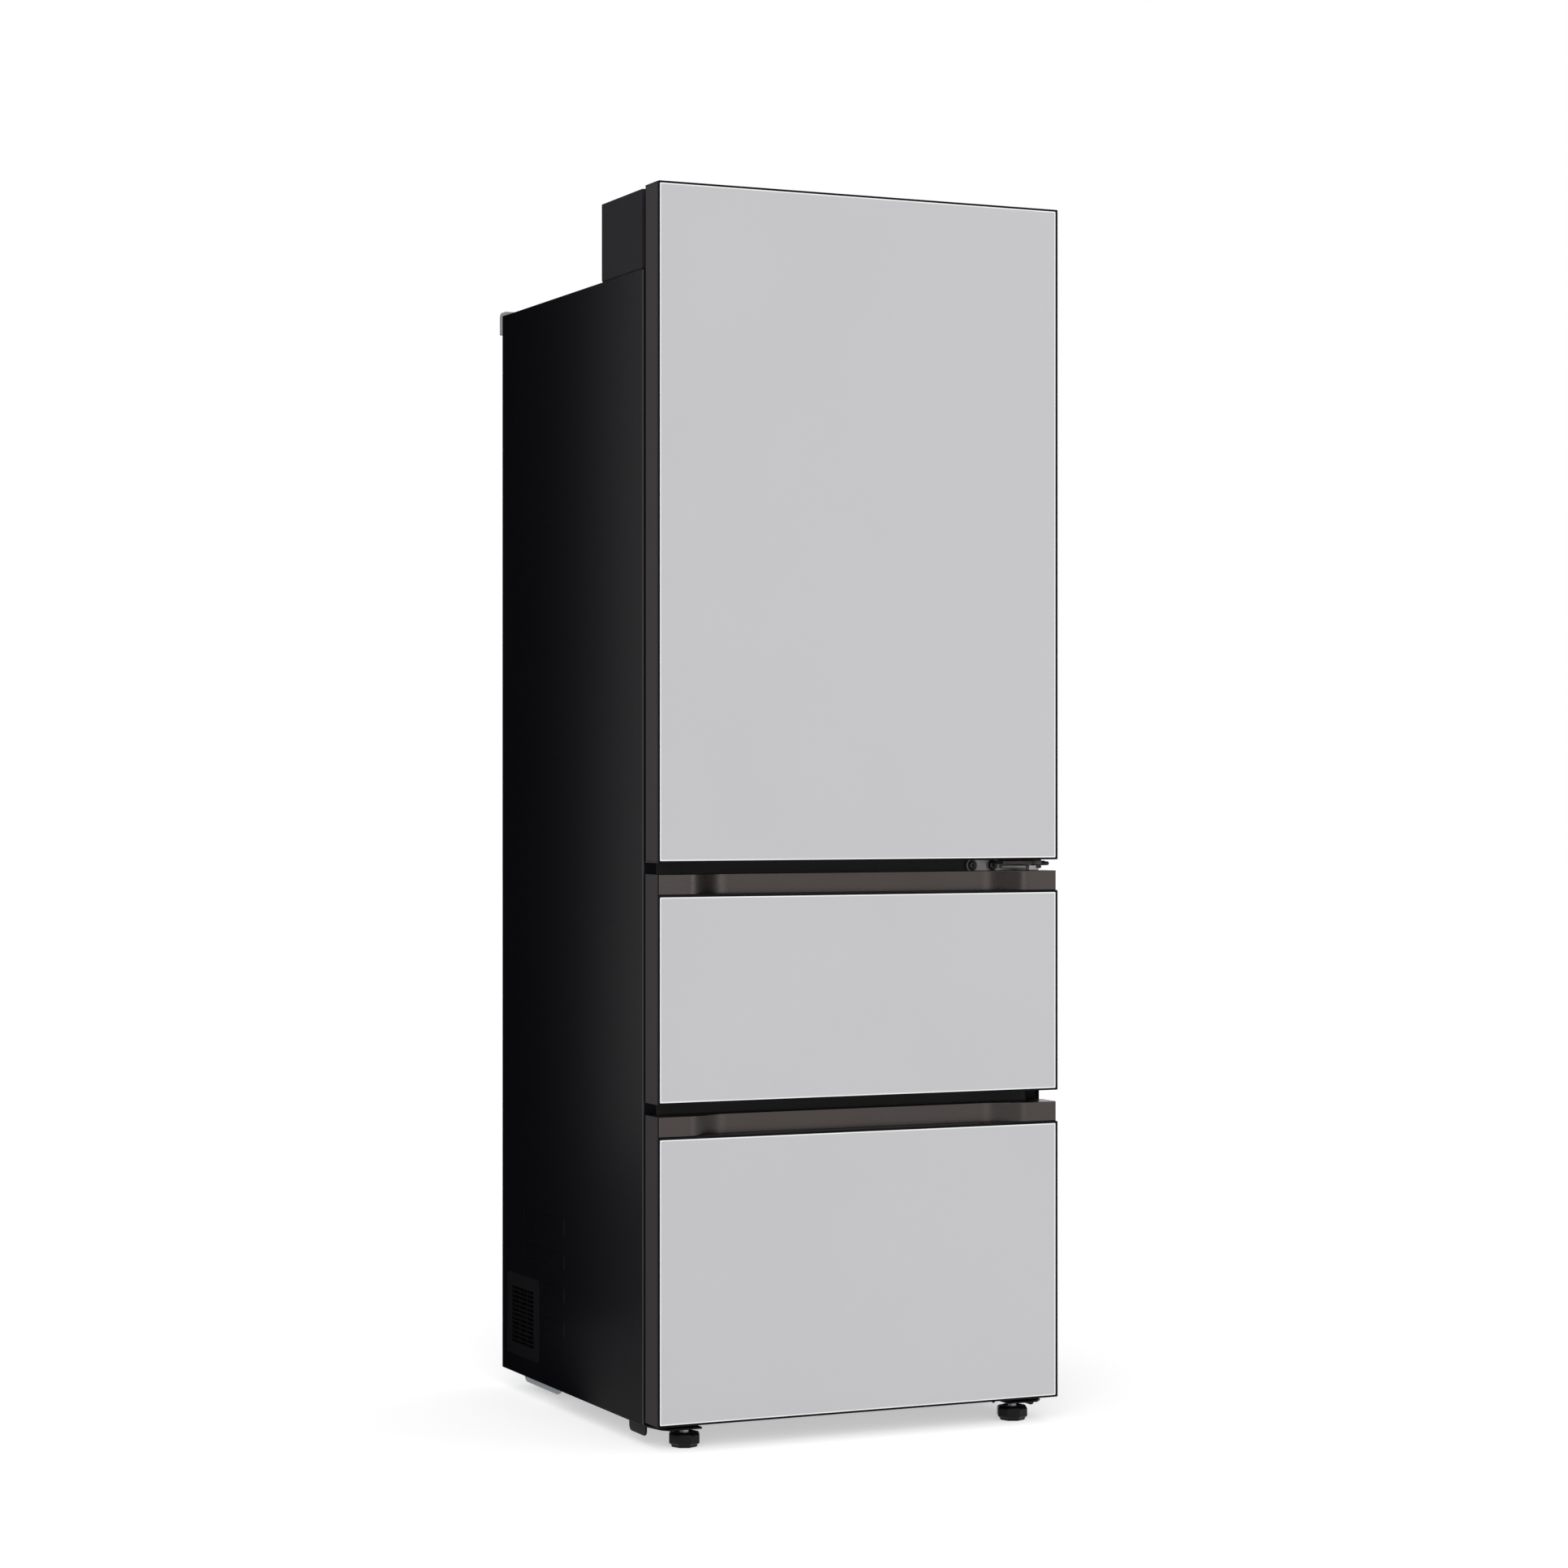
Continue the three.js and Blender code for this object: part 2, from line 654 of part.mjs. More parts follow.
function makeCooler() {
  const rear = cavityRear - seat;
  const top = upperCavity.top - coolerBelowCeiling;
  const chamferRear = coolerFront + coolerChamferDepth;
  const coverSection = (wall) => outline([
    [rear + wall, coolerBottom + wall],
    [rear + wall, top - wall],
    [chamferRear, top - wall],
    [coolerFront + wall, top - coolerChamferHeight],
    [coolerFront + wall, coolerBottom + coolerChamferHeight],
    [chamferRear, coolerBottom + wall],
  ]);
  let cover = cut(
    prismX(coverSection(0), span(coolerWidth / 2)),
    prismX(coverSection(coolerWall), span(coolerWidth / 2 - coolerWall)),
  );
  const { count, width, pitch, height, belowTop, aboveBottom } = coolerOutlets;
  const through = [coolerFront - coolerWall, coolerFront + 2 * coolerWall];
  for (let i = 0; i < count; i += 1) {
    const x = (i - (count - 1) / 2) * pitch;
    const across = [x - width / 2, x + width / 2];
    cover = cover.subtract(block(across, through, [top - belowTop - height, top - belowTop]));
    cover = cover.subtract(block(across, through,
      [coolerBottom + aboveBottom, coolerBottom + aboveBottom + height]));
  }
  addPiece(cabinet, 'evaporator_cover', cover, linerWhite);

  const coilBottom = coolerBottom + coilAboveBottom;
  const finPitch = (coilWidth - coilFinThickness) / (coilFins - 1);
  const finY = [coolerFront + coolerWall + coilBehindCover, rear];
  const tubeY = (finY[0] + finY[1]) / 2;
  const coil = [];
  for (let row = 0; row < coilTubeRows; row += 1) {
    const z = coilBottom + coilHeight * (row + 0.5) / coilTubeRows;
    coil.push(rodX(coilTubeRadius, span(coilWidth / 2 + coilTubeEnd), tubeY, z, 6));
  }
  for (let i = 0; i < coilFins; i += 1) {
    const x = -coilWidth / 2 + i * finPitch;
    coil.push(block([x, x + coilFinThickness], finY, [coilBottom, coilBottom + coilHeight]));
  }
  addPiece(cabinet, 'evaporator', join(...coil), aluminium);
}

makeShelves();
makeCooler();

// ---------------------------------------------------------------- machine room

function makeMachineBase() {
  const inside = halfWidth - skin - seat;
  const front = machineRoomFront + skin + seat;
  const rear = cabinetRear - skin - seat;
  let base = block(span(inside), [front, rear], [cabinetBottom, baseTop]);
  base = base.add(block(span(inside), [front, front + baseSheet], [cabinetBottom, baseTop + baseRim]));
  base = base.add(block(span(inside), [rear - baseSheet, rear], [cabinetBottom, baseTop + baseRim]));
  const flangeX = halfWidth - baseFlangeFromSide;
  const { behindWall, noseRun, noseDrop, run, toe, rise } = baseFlangeFront;
  const { aheadOfRear, heel, cut: heelCut } = baseFlangeRear;
  const flangeFront = machineRoomFront + behindWall;
  const flangeRear = rear - aheadOfRear;
  const drop = cabinetBottom - baseFlangeDrop;
  const flange = outline([
    [flangeFront, cabinetBottom + baseSheet / 2],
    [flangeFront + noseRun, cabinetBottom - noseDrop],
    [flangeFront + run, drop + rise],
    [flangeFront + run + toe, drop],
    [flangeRear - heel, drop],
    [flangeRear - heelCut, drop + heelCut],
    [flangeRear, drop + heel],
    [flangeRear, cabinetBottom + baseSheet / 2],
  ]);
  const rollerX = halfWidth - rollerFromSide;
  const rollerY = cabinetRear - rollerFromRear;
  const ear = outline([
    [rollerY - axleEar.half, cabinetBottom + baseSheet / 2],
    [rollerY - axleEar.half, rollerRadius],
    [rollerY - axleEar.half / 2, drop],
    [rollerY + axleEar.half / 2, drop],
    [rollerY + axleEar.half, rollerRadius],
    [rollerY + axleEar.half, cabinetBottom + baseSheet / 2],
  ]);
  const hole = span(rollerWidth / 2 + 2 * axleBeyond);
  for (const [, side] of sides) {
    const sheet = (x) => [x, x - baseSheet].map((reach) => side * reach).sort((a, b) => a - b);
    const through = hole.map((x) => side * rollerX + x);
    base = cut(
      join(
        base,
        prismX(flange, sheet(flangeX)),
        prismX(ear, sheet(rollerX + rollerWidth / 2 + axleEar.outerGap)),
        prismX(ear, sheet(rollerX - rollerWidth / 2 - axleEar.innerGap)),
      ),
      rodX(axleRadius + fit, through, rollerY, rollerRadius, 12),
    );
  }
  addPiece(cabinet, 'machine_base', base, galvanised);
}

function makeRollers() {
  const y = cabinetRear - rollerFromRear;
  const half = rollerWidth / 2;
  const reach = half + axleBeyond;
  for (const [word, side] of sides) {
    const x = side * (halfWidth - rollerFromSide);
    const roller = join(
      rodX(rollerRadius, [x - half, x + half], y, rollerRadius, 24),
      rodX(axleRadius, [x - reach, x + reach], y, rollerRadius, 12),
    );
    addPiece(appliance, `roller_${word}`, roller, legBlack);
  }
}

function makeMachineCover() {
  const inside = halfWidth - skin - seat;
  const bottom = baseTop + baseRim + seat;
  let cover = block(span(inside), [cabinetRear - skin, cabinetRear], [bottom, machineRoomTop - seat]);
  const { rows, columns, width, height, pitchAcross, pitchUp, aboveBottom } = coverSlots;
  for (let column = 0; column < columns; column += 1) {
    for (let row = 0; row < rows; row += 1) {
      const x = (column - (columns - 1) / 2) * pitchAcross;
      const z = bottom + aboveBottom + row * pitchUp;
      cover = cover.subtract(block([x - width / 2, x + width / 2], [cabinetRear - 2 * skin, cabinetRear + 1],
        [z, z + height]));
    }
  }
  addPiece(cabinet, 'machine_cover', cover, galvanised);
}

function makeVents() {
  for (const [word, side] of sides) {
    const outerFace = ventInner + ventThickness;
    const depths = (near, far) => [Math.min(side * near, side * far), Math.max(side * near, side * far)];
    let vent = sideBlock(side, [ventInner, outerFace],
      [machineRoomFront + skin + fit, cabinetRear - skin - fit],
      [baseTop + baseRim + fit, machineRoomTop - fit]);
    vent = vent.add(prismX(ventOutline(-seat), depths(ventInner + ventThickness / 2, halfWidth - seat), 3));
    const slotWidth = ventSlots.pitchAcross - ventBar;
    const slotHeight = ventSlots.pitchUp - ventBar;
    for (let column = 0; column < ventSlots.columns; column += 1) {
      const y = cabinetRear - ventFrame.front + ventSlots.frontMargin + column * ventSlots.pitchAcross;
      for (let row = 0; row < ventSlots.rows; row += 1) {
        const z = ventFrame.bottom + ventSlots.bottomMargin + row * ventSlots.pitchUp;
        vent = vent.subtract(sideBlock(side, [ventInner - ventThickness, halfWidth + skin],
          [y, y + slotWidth], [z, z + slotHeight]));
      }
    }
    addPiece(cabinet, `side_vent_${word}`, vent, coverBlack);
  }
}

function makeCompressor() {
  const floor = baseTop + seat + grommetHeight;
  const profile = compressorProfile.map(([r, h]) => [r * compressorRadius, h * compressorHeight]);
  const { halfLength, halfWidth: plateHalf, corner, thickness } = compressorPlate;
  const plate = roundedRect([compressorX - halfLength, compressorX + halfLength],
    [machineMiddle - plateHalf, machineMiddle + plateHalf], corner);
  let compressor = join(
    turnedZ(profile, compressorX, machineMiddle, floor - compressorSunk, 20),
    prismZ(plate, [floor, floor + thickness], 3),
  );
  for (const x of [compressorX - grommets.fromMiddleX, compressorX + grommets.fromMiddleX]) {
    for (const y of [machineMiddle - grommets.fromMiddleY, machineMiddle + grommets.fromMiddleY]) {
      compressor = compressor.add(rodZ(grommets.radius, [baseTop + seat, floor + thickness / 2], x, y, 10));
    }
  }
  const boxY = machineMiddle - compressorRadius;
  const boxZ = floor + relayBox.bottom;
  compressor = compressor.add(block([compressorX - relayBox.halfWidth, compressorX + relayBox.halfWidth],
    [boxY - relayBox.out, boxY + relayBox.into], [boxZ, boxZ + relayBox.height]));
  const pipeX = compressorX - pipeFromAxis;
  const pipePath = pipeRun.map(([x, y, z]) => [pipeX + x, machineMiddle + y, floor + compressorHeight + z]);
  compressor = compressor.add(tube(pipePath, pipeRadius, 8));
  addPiece(cabinet, 'compressor', compressor, motorBlack);
}

function makeCondenser() {
  const y = [machineRoomFront + condenserFromWalls, cabinetRear - condenserFromWalls];
  const z = [baseTop + seat, machineRoomTop - condenserBelowTop];
  const pitch = (condenserWidth - condenserFinThickness) / (condenserFins - 1);
  const left = condenserFromVent - ventInner;
  let condenser = block([left, left + condenserWidth], y, z);
  for (let i = 0; i + 1 < condenserFins; i += 1) {
    const x = left + i * pitch + condenserFinThickness;
    condenser = condenser.subtract(block([x, x + pitch - condenserFinThickness],
      [y[0] + condenserEndPlate, y[1] - condenserEndPlate], [z[0] - 1, z[1] + 1]));
  }
  addPiece(cabinet, 'condenser', condenser, aluminium);
}

const fanZ = baseTop + fanAboveBase;

function makeFanShroud() {
  const plateX = fanX - fanDepth / 2 - shroudFromFan;
  const frame = [machineRoomFront + shroudFromWalls, cabinetRear - shroudFromWalls];
  const motorX = fanX + fanDepth / 2 + motor.gap;
  const bore = fanRadius + shroudRing.clearance;
  const ring = bore + shroudRing.wall;
  let shroud = join(
    block([plateX - shroudThickness, plateX], frame, [baseTop + seat, machineRoomTop - shroudBelowTop]),
    rodX(ring, [plateX - 1, plateX + shroudRing.depth], machineMiddle, fanZ, 28),
  );
  shroud = shroud.subtract(rodX(bore, [plateX - 2 * shroudThickness, plateX + 2 * shroudRing.depth],
    machineMiddle, fanZ, 28));
  const { count, half, root, depth, into } = shroudArms;
  const end = ring - shroudRing.wall / 2;
  for (let i = 0; i < count; i += 1) {
    const turn = Math.PI / 2 + i * 2 * Math.PI / count;
    const along = [Math.cos(turn), Math.sin(turn)];
    const across = [-along[1] * half, along[0] * half];
    const at = (reach, sign) => [
      machineMiddle + along[0] * reach + sign * across[0],
      fanZ + along[1] * reach + sign * across[1],
    ];
    const strut = outline([at(root, -1), at(end, -1), at(end, 1), at(root, 1)]);
    const post = outline([at(end - 1, -1), at(ring + 1, -1), at(ring + 1, 1), at(end - 1, 1)]);
    shroud = shroud.add(prismX(strut, [motorX, motorX + depth]));
    shroud = shroud.add(prismX(post, [plateX + into, motorX + depth]));
  }
  shroud = join(
    shroud,
    rodX(fanHub, [motorX, motorX + motor.length], machineMiddle, fanZ, 16),
    rodX(fanShaftRadius, [fanX - fanDepth / 2 + fanShaftSunk, motorX + 1], machineMiddle, fanZ, 12),
  );
  addPiece(cabinet, 'fan_shroud', shroud, motorBlack);
}

function fanBlade() {
  const shape = new THREE.Shape();
  shape.absarc(0, 0, fanHub - blade.sunk, -blade.sweep * blade.rootShare, blade.sweep * blade.rootShare);
  shape.absarc(0, 0, fanRadius, blade.sweep, -blade.sweep * blade.tailShare, true);
  shape.closePath();
  const geometry = extruded(shape, blade.thickness, 4).translate(0, 0, -blade.thickness / 2);
  const place = geometry.attributes.position;
  for (let i = 0; i < place.count; i += 1) {
    const outwards = (place.getX(i) - fanHub) / (fanRadius - fanHub);
    const twist = blade.pitch - blade.twist * outwards;
    const across = place.getY(i);
    const through = place.getZ(i);
    place.setY(i, across * Math.cos(twist) - through * Math.sin(twist));
    place.setZ(i, across * Math.sin(twist) + through * Math.cos(twist));
  }
  return geometry.rotateY(-Math.PI / 2);
}

function makeFan() {
  const half = fanDepth / 2;
  let fan = rodX(fanHub, span(half), 0, 0, 20);
  for (let i = 0; i < fanBlades; i += 1) {
    fan = fan.add(solid(fanBlade().rotateX(i * 2 * Math.PI / fanBlades)));
  }
  fan = fan.subtract(rodX(fanShaftRadius + fit, [fanShaftSunk - 1 - half, half + 1], 0, 0, 12));
  const mesh = addPiece(appliance, 'condenser_fan', fan, binGrey);
  mesh.position.set(fanX, machineMiddle, fanZ);
}

makeMachineBase();
makeRollers();
makeMachineCover();
makeVents();
makeCompressor();
makeCondenser();
makeFanShroud();
makeFan();

// ---------------------------------------------------------------- cabinet top and rear

const topBoxTop = cabinetTop + topBoxHeight;
const notchFloor = doorTop - notchBelowTop - notchHeight;
const topArmBottom = notchFloor + (notchHeight - hingeArmThickness) / 2;
const hingeArmHalf = hingeArmWidth / 2;

// An arm in plan: square at its root, rounded round the hinge axis.
function hingeArm(rootX, rootY, tipRadius) {
  const shape = new THREE.Shape();
  shape.moveTo(rootX[1], rootY);
  shape.lineTo(rootX[0], rootY);
  shape.absarc(hingeX, hingeY, tipRadius, Math.PI, 2 * Math.PI);
  shape.closePath();
  return shape;
}

function makeTopBox() {
  const rear = cabinetFront + topBoxDepth;
  const front = cabinetFront;
  let box = block(span(halfWidth), [front, rear], [cabinetTop, topBoxTop]);
  box = box.subtract(block(span(halfWidth - topBoxWall), [front + topBoxWall, rear - topBoxWall],
    [cabinetTop - 1, topBoxTop - topBoxWall]));
  const rebate = cut(
    block(span(halfWidth + 1), [front - 1, rear + 1], [cabinetTop - 1, cabinetTop + jointLine]),
    block(span(halfWidth - jointDepth), [front + jointDepth, rear - jointDepth],
      [cabinetTop - 2, cabinetTop + 2 * jointLine]),
  );
  box = box.subtract(rebate);
  box = box.subtract(block([hingeX - hingeArmHalf - notchBeside, hingeX + hingeArmHalf + notchBeside],
    [front - 1, front + 2 * topBoxWall], [topArmBottom - notchBeside, topBoxTop - topBoxWall]));
  addPiece(cabinet, 'top_box', box, boxBlack);
}

function makeTopHinge() {
  const { thickness: foot, behindFront: rootBehind, ahead, behind, inner, outer } = topHingeFoot;
  const rootY = cabinetFront + rootBehind;
  const post = [hingeX - hingeArmHalf - topHingePostWider, hingeX + hingeArmHalf];
  const armTop = topArmBottom + hingeArmThickness;
  const web = outline([
    [rootY + foot / 2, cabinetTop + foot / 2],
    [rootY + topHingeWeb.run, cabinetTop + foot / 2],
    [rootY + foot / 2, cabinetTop + topHingeWeb.rise],
  ]);
  const hinge = join(
    block([post[0] - inner, post[1] + outer], [rootY - ahead, rootY + behind],
      [cabinetTop, cabinetTop + foot]),
    block(post, [rootY, rootY + foot], [cabinetTop + foot / 2, armTop]),
    prismX(web, [post[0], post[0] + topHingeWeb.thickness]),
    prismX(web, [post[1] - topHingeWeb.thickness, post[1]]),
    prismZ(hingeArm([hingeX - hingeArmHalf, hingeX + hingeArmHalf], rootY + foot / 2, hingeArmHalf),
      [topArmBottom, armTop], 5),
    rodZ(topPinRadius, [topArmBottom - topPinLength, topArmBottom + 1], hingeX, hingeY, 16),
  );
  addPiece(cabinet, 'top_hinge', hinge, zincSteel);
}

function makeControlBoard() {
  const left = board.fromLeft - halfWidth;
  const x = [left, left + board.width];
  const y = [cabinetFront + board.fromBox, cabinetFront + topBoxDepth - board.fromBox];
  const floor = cabinetTop + board.post;
  const face = floor + board.thickness;
  const sunk = face - boardSunk;
  const transformerX = x[0] + boardTransformer.inset;
  const transformerY = y[0] + boardTransformer.ahead;
  let shape = join(
    block(x, y, [floor, face]),
    block([transformerX, transformerX + boardTransformer.width],
      [transformerY, transformerY + boardTransformer.depth], [sunk, face + boardTransformer.height]),
    block([x[0] + boardConnector.inset, x[1] - boardConnector.inset],
      [y[1] - boardConnector.behind - boardConnector.depth, y[1] - boardConnector.behind],
      [sunk, face + boardConnector.height]),
  );
  for (const postX of [x[0] + board.postInset, x[1] - board.postInset]) {
    for (const postY of [y[0] + board.postInset, y[1] - board.postInset]) {
      shape = shape.add(rodZ(board.postRadius, [cabinetTop, sunk], postX, postY, 8));
    }
  }
  for (let i = 0; i < boardCapacitors.count; i += 1) {
    const canX = x[1] - boardCapacitors.inset - i * boardCapacitors.pitch;
    shape = shape.add(rodZ(boardCapacitors.radius, [sunk, face + boardCapacitors.height],
      canX, y[0] + boardCapacitors.ahead, 10));
  }
  addPiece(cabinet, 'control_board', shape, boardGreen);
}

function makeSpacers() {
  const foot = cabinetTop + spacerAboveTop - spacerHeight;
  const crown = cabinetTop + spacerAboveTop;
  const rear = cabinetRear + spacerDepth;
  const section = new THREE.Shape();
  section.moveTo(cabinetRear, foot);
  section.lineTo(rear, foot);
  section.absarc(rear - spacerCorner, crown - spacerCorner, spacerCorner, 0, Math.PI / 2);
  section.lineTo(cabinetRear - spacerOverTop, crown);
  section.lineTo(cabinetRear - spacerOverTop, cabinetTop);
  section.lineTo(cabinetRear, cabinetTop);
  section.closePath();
  for (const [word, side] of sides) {
    const near = side * (halfWidth - spacerWidth);
    const far = side * halfWidth;
    let spacer = prismX(section, [Math.min(near, far), Math.max(near, far)], 5);
    spacer = spacer.subtract(sideBlock(side, [halfWidth - spacerWidth + spacerWall, halfWidth - spacerWall],
      [cabinetRear - 1, rear - spacerWall], [foot - 1, foot + spacerHollow]));
    addPiece(cabinet, `rear_spacer_${word}`, spacer, spacerGrey);
  }
}

makeTopBox();
makeTopHinge();
makeControlBoard();
makeSpacers();

// ---------------------------------------------------------------- middle hinge

const hingeArmBottom = middleTrimTop + hingeArmAboveTrim;
const hingeArmTop = hingeArmBottom + hingeArmThickness;

function makeMiddleHinge() {
  const half = hingePlateHeight / 2;
  const middle = doorBottom - seat - half;
  const plateFront = cabinetFront - hingePlateThickness;
  const leftEnd = halfWidth - screwFromSide - half;
  const tipRadius = hingePinRadius + hingeTipWall;
  const stopper = hingeStopper;
  const socketFloor = plateFront + hingePlateThickness / 3;
  let hinge = join(
    prismY(roundedRect([leftEnd, halfWidth - stopper.inside], [middle - half, middle + half], half - 0.1),
      [plateFront, cabinetFront], 5),
    prismZ(hingeArm([hingeX - hingeArmRoot.inner, hingeX + hingeArmRoot.outer], socketFloor, tipRadius),
      [hingeArmBottom, hingeArmTop], 5),
    block([hingeX + tipRadius - stopper.inside, halfWidth - stopper.fromSide],
      [hingeY - stopper.front, hingeY + stopper.rear], [hingeArmBottom, hingeArmTop + stopper.rise]),
    rodZ(hingePinRadius + hingeBushWall, [hingeArmBottom + 1, doorBottom - seat], hingeX, hingeY, 16),
    rodZ(hingePinRadius, [hingeArmBottom + 1, hingeArmTop + hingePinLength], hingeX, hingeY, 16),
  );
  for (let i = 0; i < 2; i += 1) {
    const x = halfWidth - screwFromSide + i * screwSpacing;
    const head = rodY(half - seat, [plateFront - screwHeadRise, socketFloor], x, middle);
    const socket = rodY(half - screwHeadWall, [plateFront - 2 * screwHeadRise, socketFloor], x, middle);
    hinge = hinge.add(head).subtract(socket);
  }
  addPiece(cabinet, 'middle_hinge', hinge, zincSteel);
}

makeMiddleHinge();

// ---------------------------------------------------------------- feet and their brackets

function makeFoot(word, footX, footY) {
  const footRadius = footWidth / 2;
  const knob = [
    [0, 0], [footRadius - footBevel.bottom, 0], [footRadius, footBevel.bottomRise],
    [footRadius, footHeight - footBevel.topDrop], [footRadius - footBevel.top, footHeight], [0, footHeight],
  ];
  const foot = join(
    turnedZ(knob, footX, footY, 0, footSides),
    rodZ(studRadius, [footHeight - 1, cabinetBottom + weldNutHeight + studAboveNut], footX, footY, 12),
  );
  addPiece(appliance, `foot_${word}`, foot, legBlack);
}

function makeLegBracket(word, side, footX, footY) {
  const outer = halfWidth - legPlateFromSide;
  const front = frontFace + legPlateFrontFromFace;
  const rear = front + legPlateDepth;
  const flangeFront = cabinetFront + legPlateNose.behindFace;
  const plan = outline([
    [side * outer, flangeFront],
    [side * (outer - legPlateNose.cut), front + legPlateNose.depth],
    [side * (outer - legPlateNose.run), front],
    [side * (outer - legPlateFrontWidth), front],
    [side * (outer - legPlateFrontWidth), cabinetFront],
    [side * (outer - legPlateRearWidth), rear],
    [side * outer, rear],
  ]);
  const root = cabinetBottom - legPlateThickness / 2;
  const drop = cabinetBottom - legFlangeDrop;
  const flange = outline([
    [flangeFront, root],
    ...legFlangeFront.map(([run, rise]) => [flangeFront + run, drop + rise]),
    ...legFlangeRear.map(([run, rise]) => [rear - run, drop + rise]),
    [rear, root],
  ]);
  const gusset = outline([
    [cabinetFront, root],
    [cabinetFront + legGusset.run, cabinetBottom - legGusset.drop],
    [rear - legGusset.aheadOfRear, root],
  ]);
  const wall = (x) => [Math.min(side * x, side * (x - legPlateThickness)),
    Math.max(side * x, side * (x - legPlateThickness))];
  const bracket = cut(
    join(
      prismZ(plan, [legPlateBottom, cabinetBottom]),
      prismX(flange, wall(outer)),
      prismX(gusset, wall(outer - legPlateFrontWidth + legPlateThickness)),
      rodZ(studRadius + weldNutWall, [root, cabinetBottom + weldNutHeight], footX, footY, 6),
    ),
    rodZ(studRadius + fit, [0, cabinetBottom + 2 * weldNutHeight], footX, footY, 12),
  );
  addPiece(cabinet, `leg_bracket_${word}`, bracket, legBlack);
}

function makeFeet() {
  const footY = frontFace + footBehindFront;
  for (const [word, side] of sides) {
    const footX = side * (halfWidth - footFromSide);
    makeFoot(word, footX, footY);
    makeLegBracket(word, side, footX, footY);
  }
}

makeFeet();

// ---------------------------------------------------------------- gaskets, shared by door and drawers

function gasketRing({ bottom, top }, grow, y) {
  const half = cavityHalf + gasketOffset + grow;
  return block(span(half), y, [bottom - gasketOffset - grow, top + gasketOffset + grow]);
}

function addGasket(group, name, cavity) {
  const y = [frontRear, cabinetFront - seat];
  const lip = gasketSpace / 4;
  const neck = [y[0] + lip, y[1] - lip];
  const outside = cut(
    gasketRing(cavity, gasketWidth + 1, neck),
    gasketRing(cavity, gasketWidth - gasketHollow, neck),
  );
  const gasket = cut(
    gasketRing(cavity, gasketWidth, y),
    gasketRing(cavity, 0, [y[0] - 1, y[1] + 1]),
    gasketRing(cavity, gasketHollow, neck),
    outside,
  );
  addPiece(group, name, gasket, rubberGrey);
}

// ---------------------------------------------------------------- upper door

const door = new THREE.Group();
appliance.add(door);

function makeDoor() {
  const panelHeights = [doorBottom, doorTop];
  const bodyHeights = [doorBottom + doorCapHeight, doorTop - doorCapHeight];
  addPiece(door, 'door_panel', block(span(halfWidth), [frontFace, panelRear], panelHeights), panelGrey);

  const notch = block([hingeX - hingeArmHalf - notchBeside, halfWidth + 1],
    [hingeY - hingeArmHalf - notchInFront, frontRear + 1], [notchFloor, notchFloor + notchHeight]);
  const pinPlay = fit;
  const frame = cut(
    block(span(halfWidth), [panelRear, frontRear - doorLinerWall], bodyHeights),
    notch,
    rodZ(topPinRadius + pinPlay, [topArmBottom - topPinLength - 2, notchFloor + 1], hingeX, hingeY, 16),
    rodZ(hingePinRadius + pinPlay, [doorBottom, hingeArmTop + hingePinLength + 2], hingeX, hingeY, 16),
  );
  addPiece(door, 'door_frame', frame, frameBrown);

  const capDepth = [panelRear, frontRear];
  addPiece(door, 'door_top_cap', block(span(halfWidth), capDepth, [bodyHeights[1], doorTop]), frameBrown);
  const bottomCap = cut(
    block(span(halfWidth), capDepth, [doorBottom, bodyHeights[0]]),
    rodZ(hingePinRadius + pinPlay, [doorBottom - 1, bodyHeights[0] + 1], hingeX, hingeY, 16),
  );
  addPiece(door, 'door_bottom_cap', bottomCap, frameBrown);
}

const dikeOuter = cavityHalf - doorDikeInset;
const dikeInner = dikeOuter - doorDikeWidth;
const dikeDepth = [frontRear - doorLinerWall / 2, frontRear + doorDikeHeight];
const dikeFromEnds = doorDikeInset - doorDikeCloser;
const dikeHeights = [upperCavity.bottom + dikeFromEnds, upperCavity.top - dikeFromEnds];

function makeDoorLiner() {
  const plate = block(span(halfWidth), [frontRear - doorLinerWall, frontRear],
    [doorBottom + doorCapHeight, doorTop - doorCapHeight]);
  const notch = block([hingeX - hingeArmHalf - notchBeside, halfWidth + 1],
    [frontRear - notchIntoLiner, frontRear + 1], [notchFloor, notchFloor + notchHeight]);
  let liner = plate.subtract(notch).add(block(span(dikeOuter), dikeDepth, dikeHeights));
  liner = liner.subtract(block(span(dikeInner), [frontRear, dikeDepth[1] + 1],
    [dikeHeights[0] + doorDikeWidth, dikeHeights[1] - doorDikeWidth]));
  for (const { level } of doorBins) {
    for (const [, side] of sides) {
      liner = liner.add(sideBlock(side, [dikeInner - doorBinLedge, dikeInner + 1],
        [frontRear - 1, dikeDepth[1] - doorLedgeBack], [level - doorBinLedge, level - seat]));
    }
  }
  addPiece(door, 'door_liner', liner, linerWhite);
}

function makeDoorBins() {
  const half = dikeInner - 2 * fit;
  const back = frontRear + seat;
  const front = back + doorBinDepth;
  const plan = (wall) => {
    const shape = new THREE.Shape();
    const cornerX = half - doorBinCorner;
    const cornerY = front - doorBinCorner;
    const radius = doorBinCorner - wall;
    shape.moveTo(-half + wall, back + wall);
    shape.lineTo(half - wall, back + wall);
    shape.absarc(cornerX, cornerY, radius, 0, Math.PI / 2);
    shape.absarc(-cornerX, cornerY, radius, Math.PI / 2, Math.PI);
    shape.closePath();
    return shape;
  };
  for (const { name, level, height } of doorBins) {
    const top = level + height;
    const bin = cut(
      prismZ(plan(0), [level, top], 4),
      prismZ(plan(doorBinWall), [level + doorBinWall, top + 1], 4),
      block(span(half + 1), [back - 1, back + doorBinWall + 1], [level + doorBinBackOpening, top + 1]),
    );
    addPiece(door, name, bin, clearTray);
  }
}

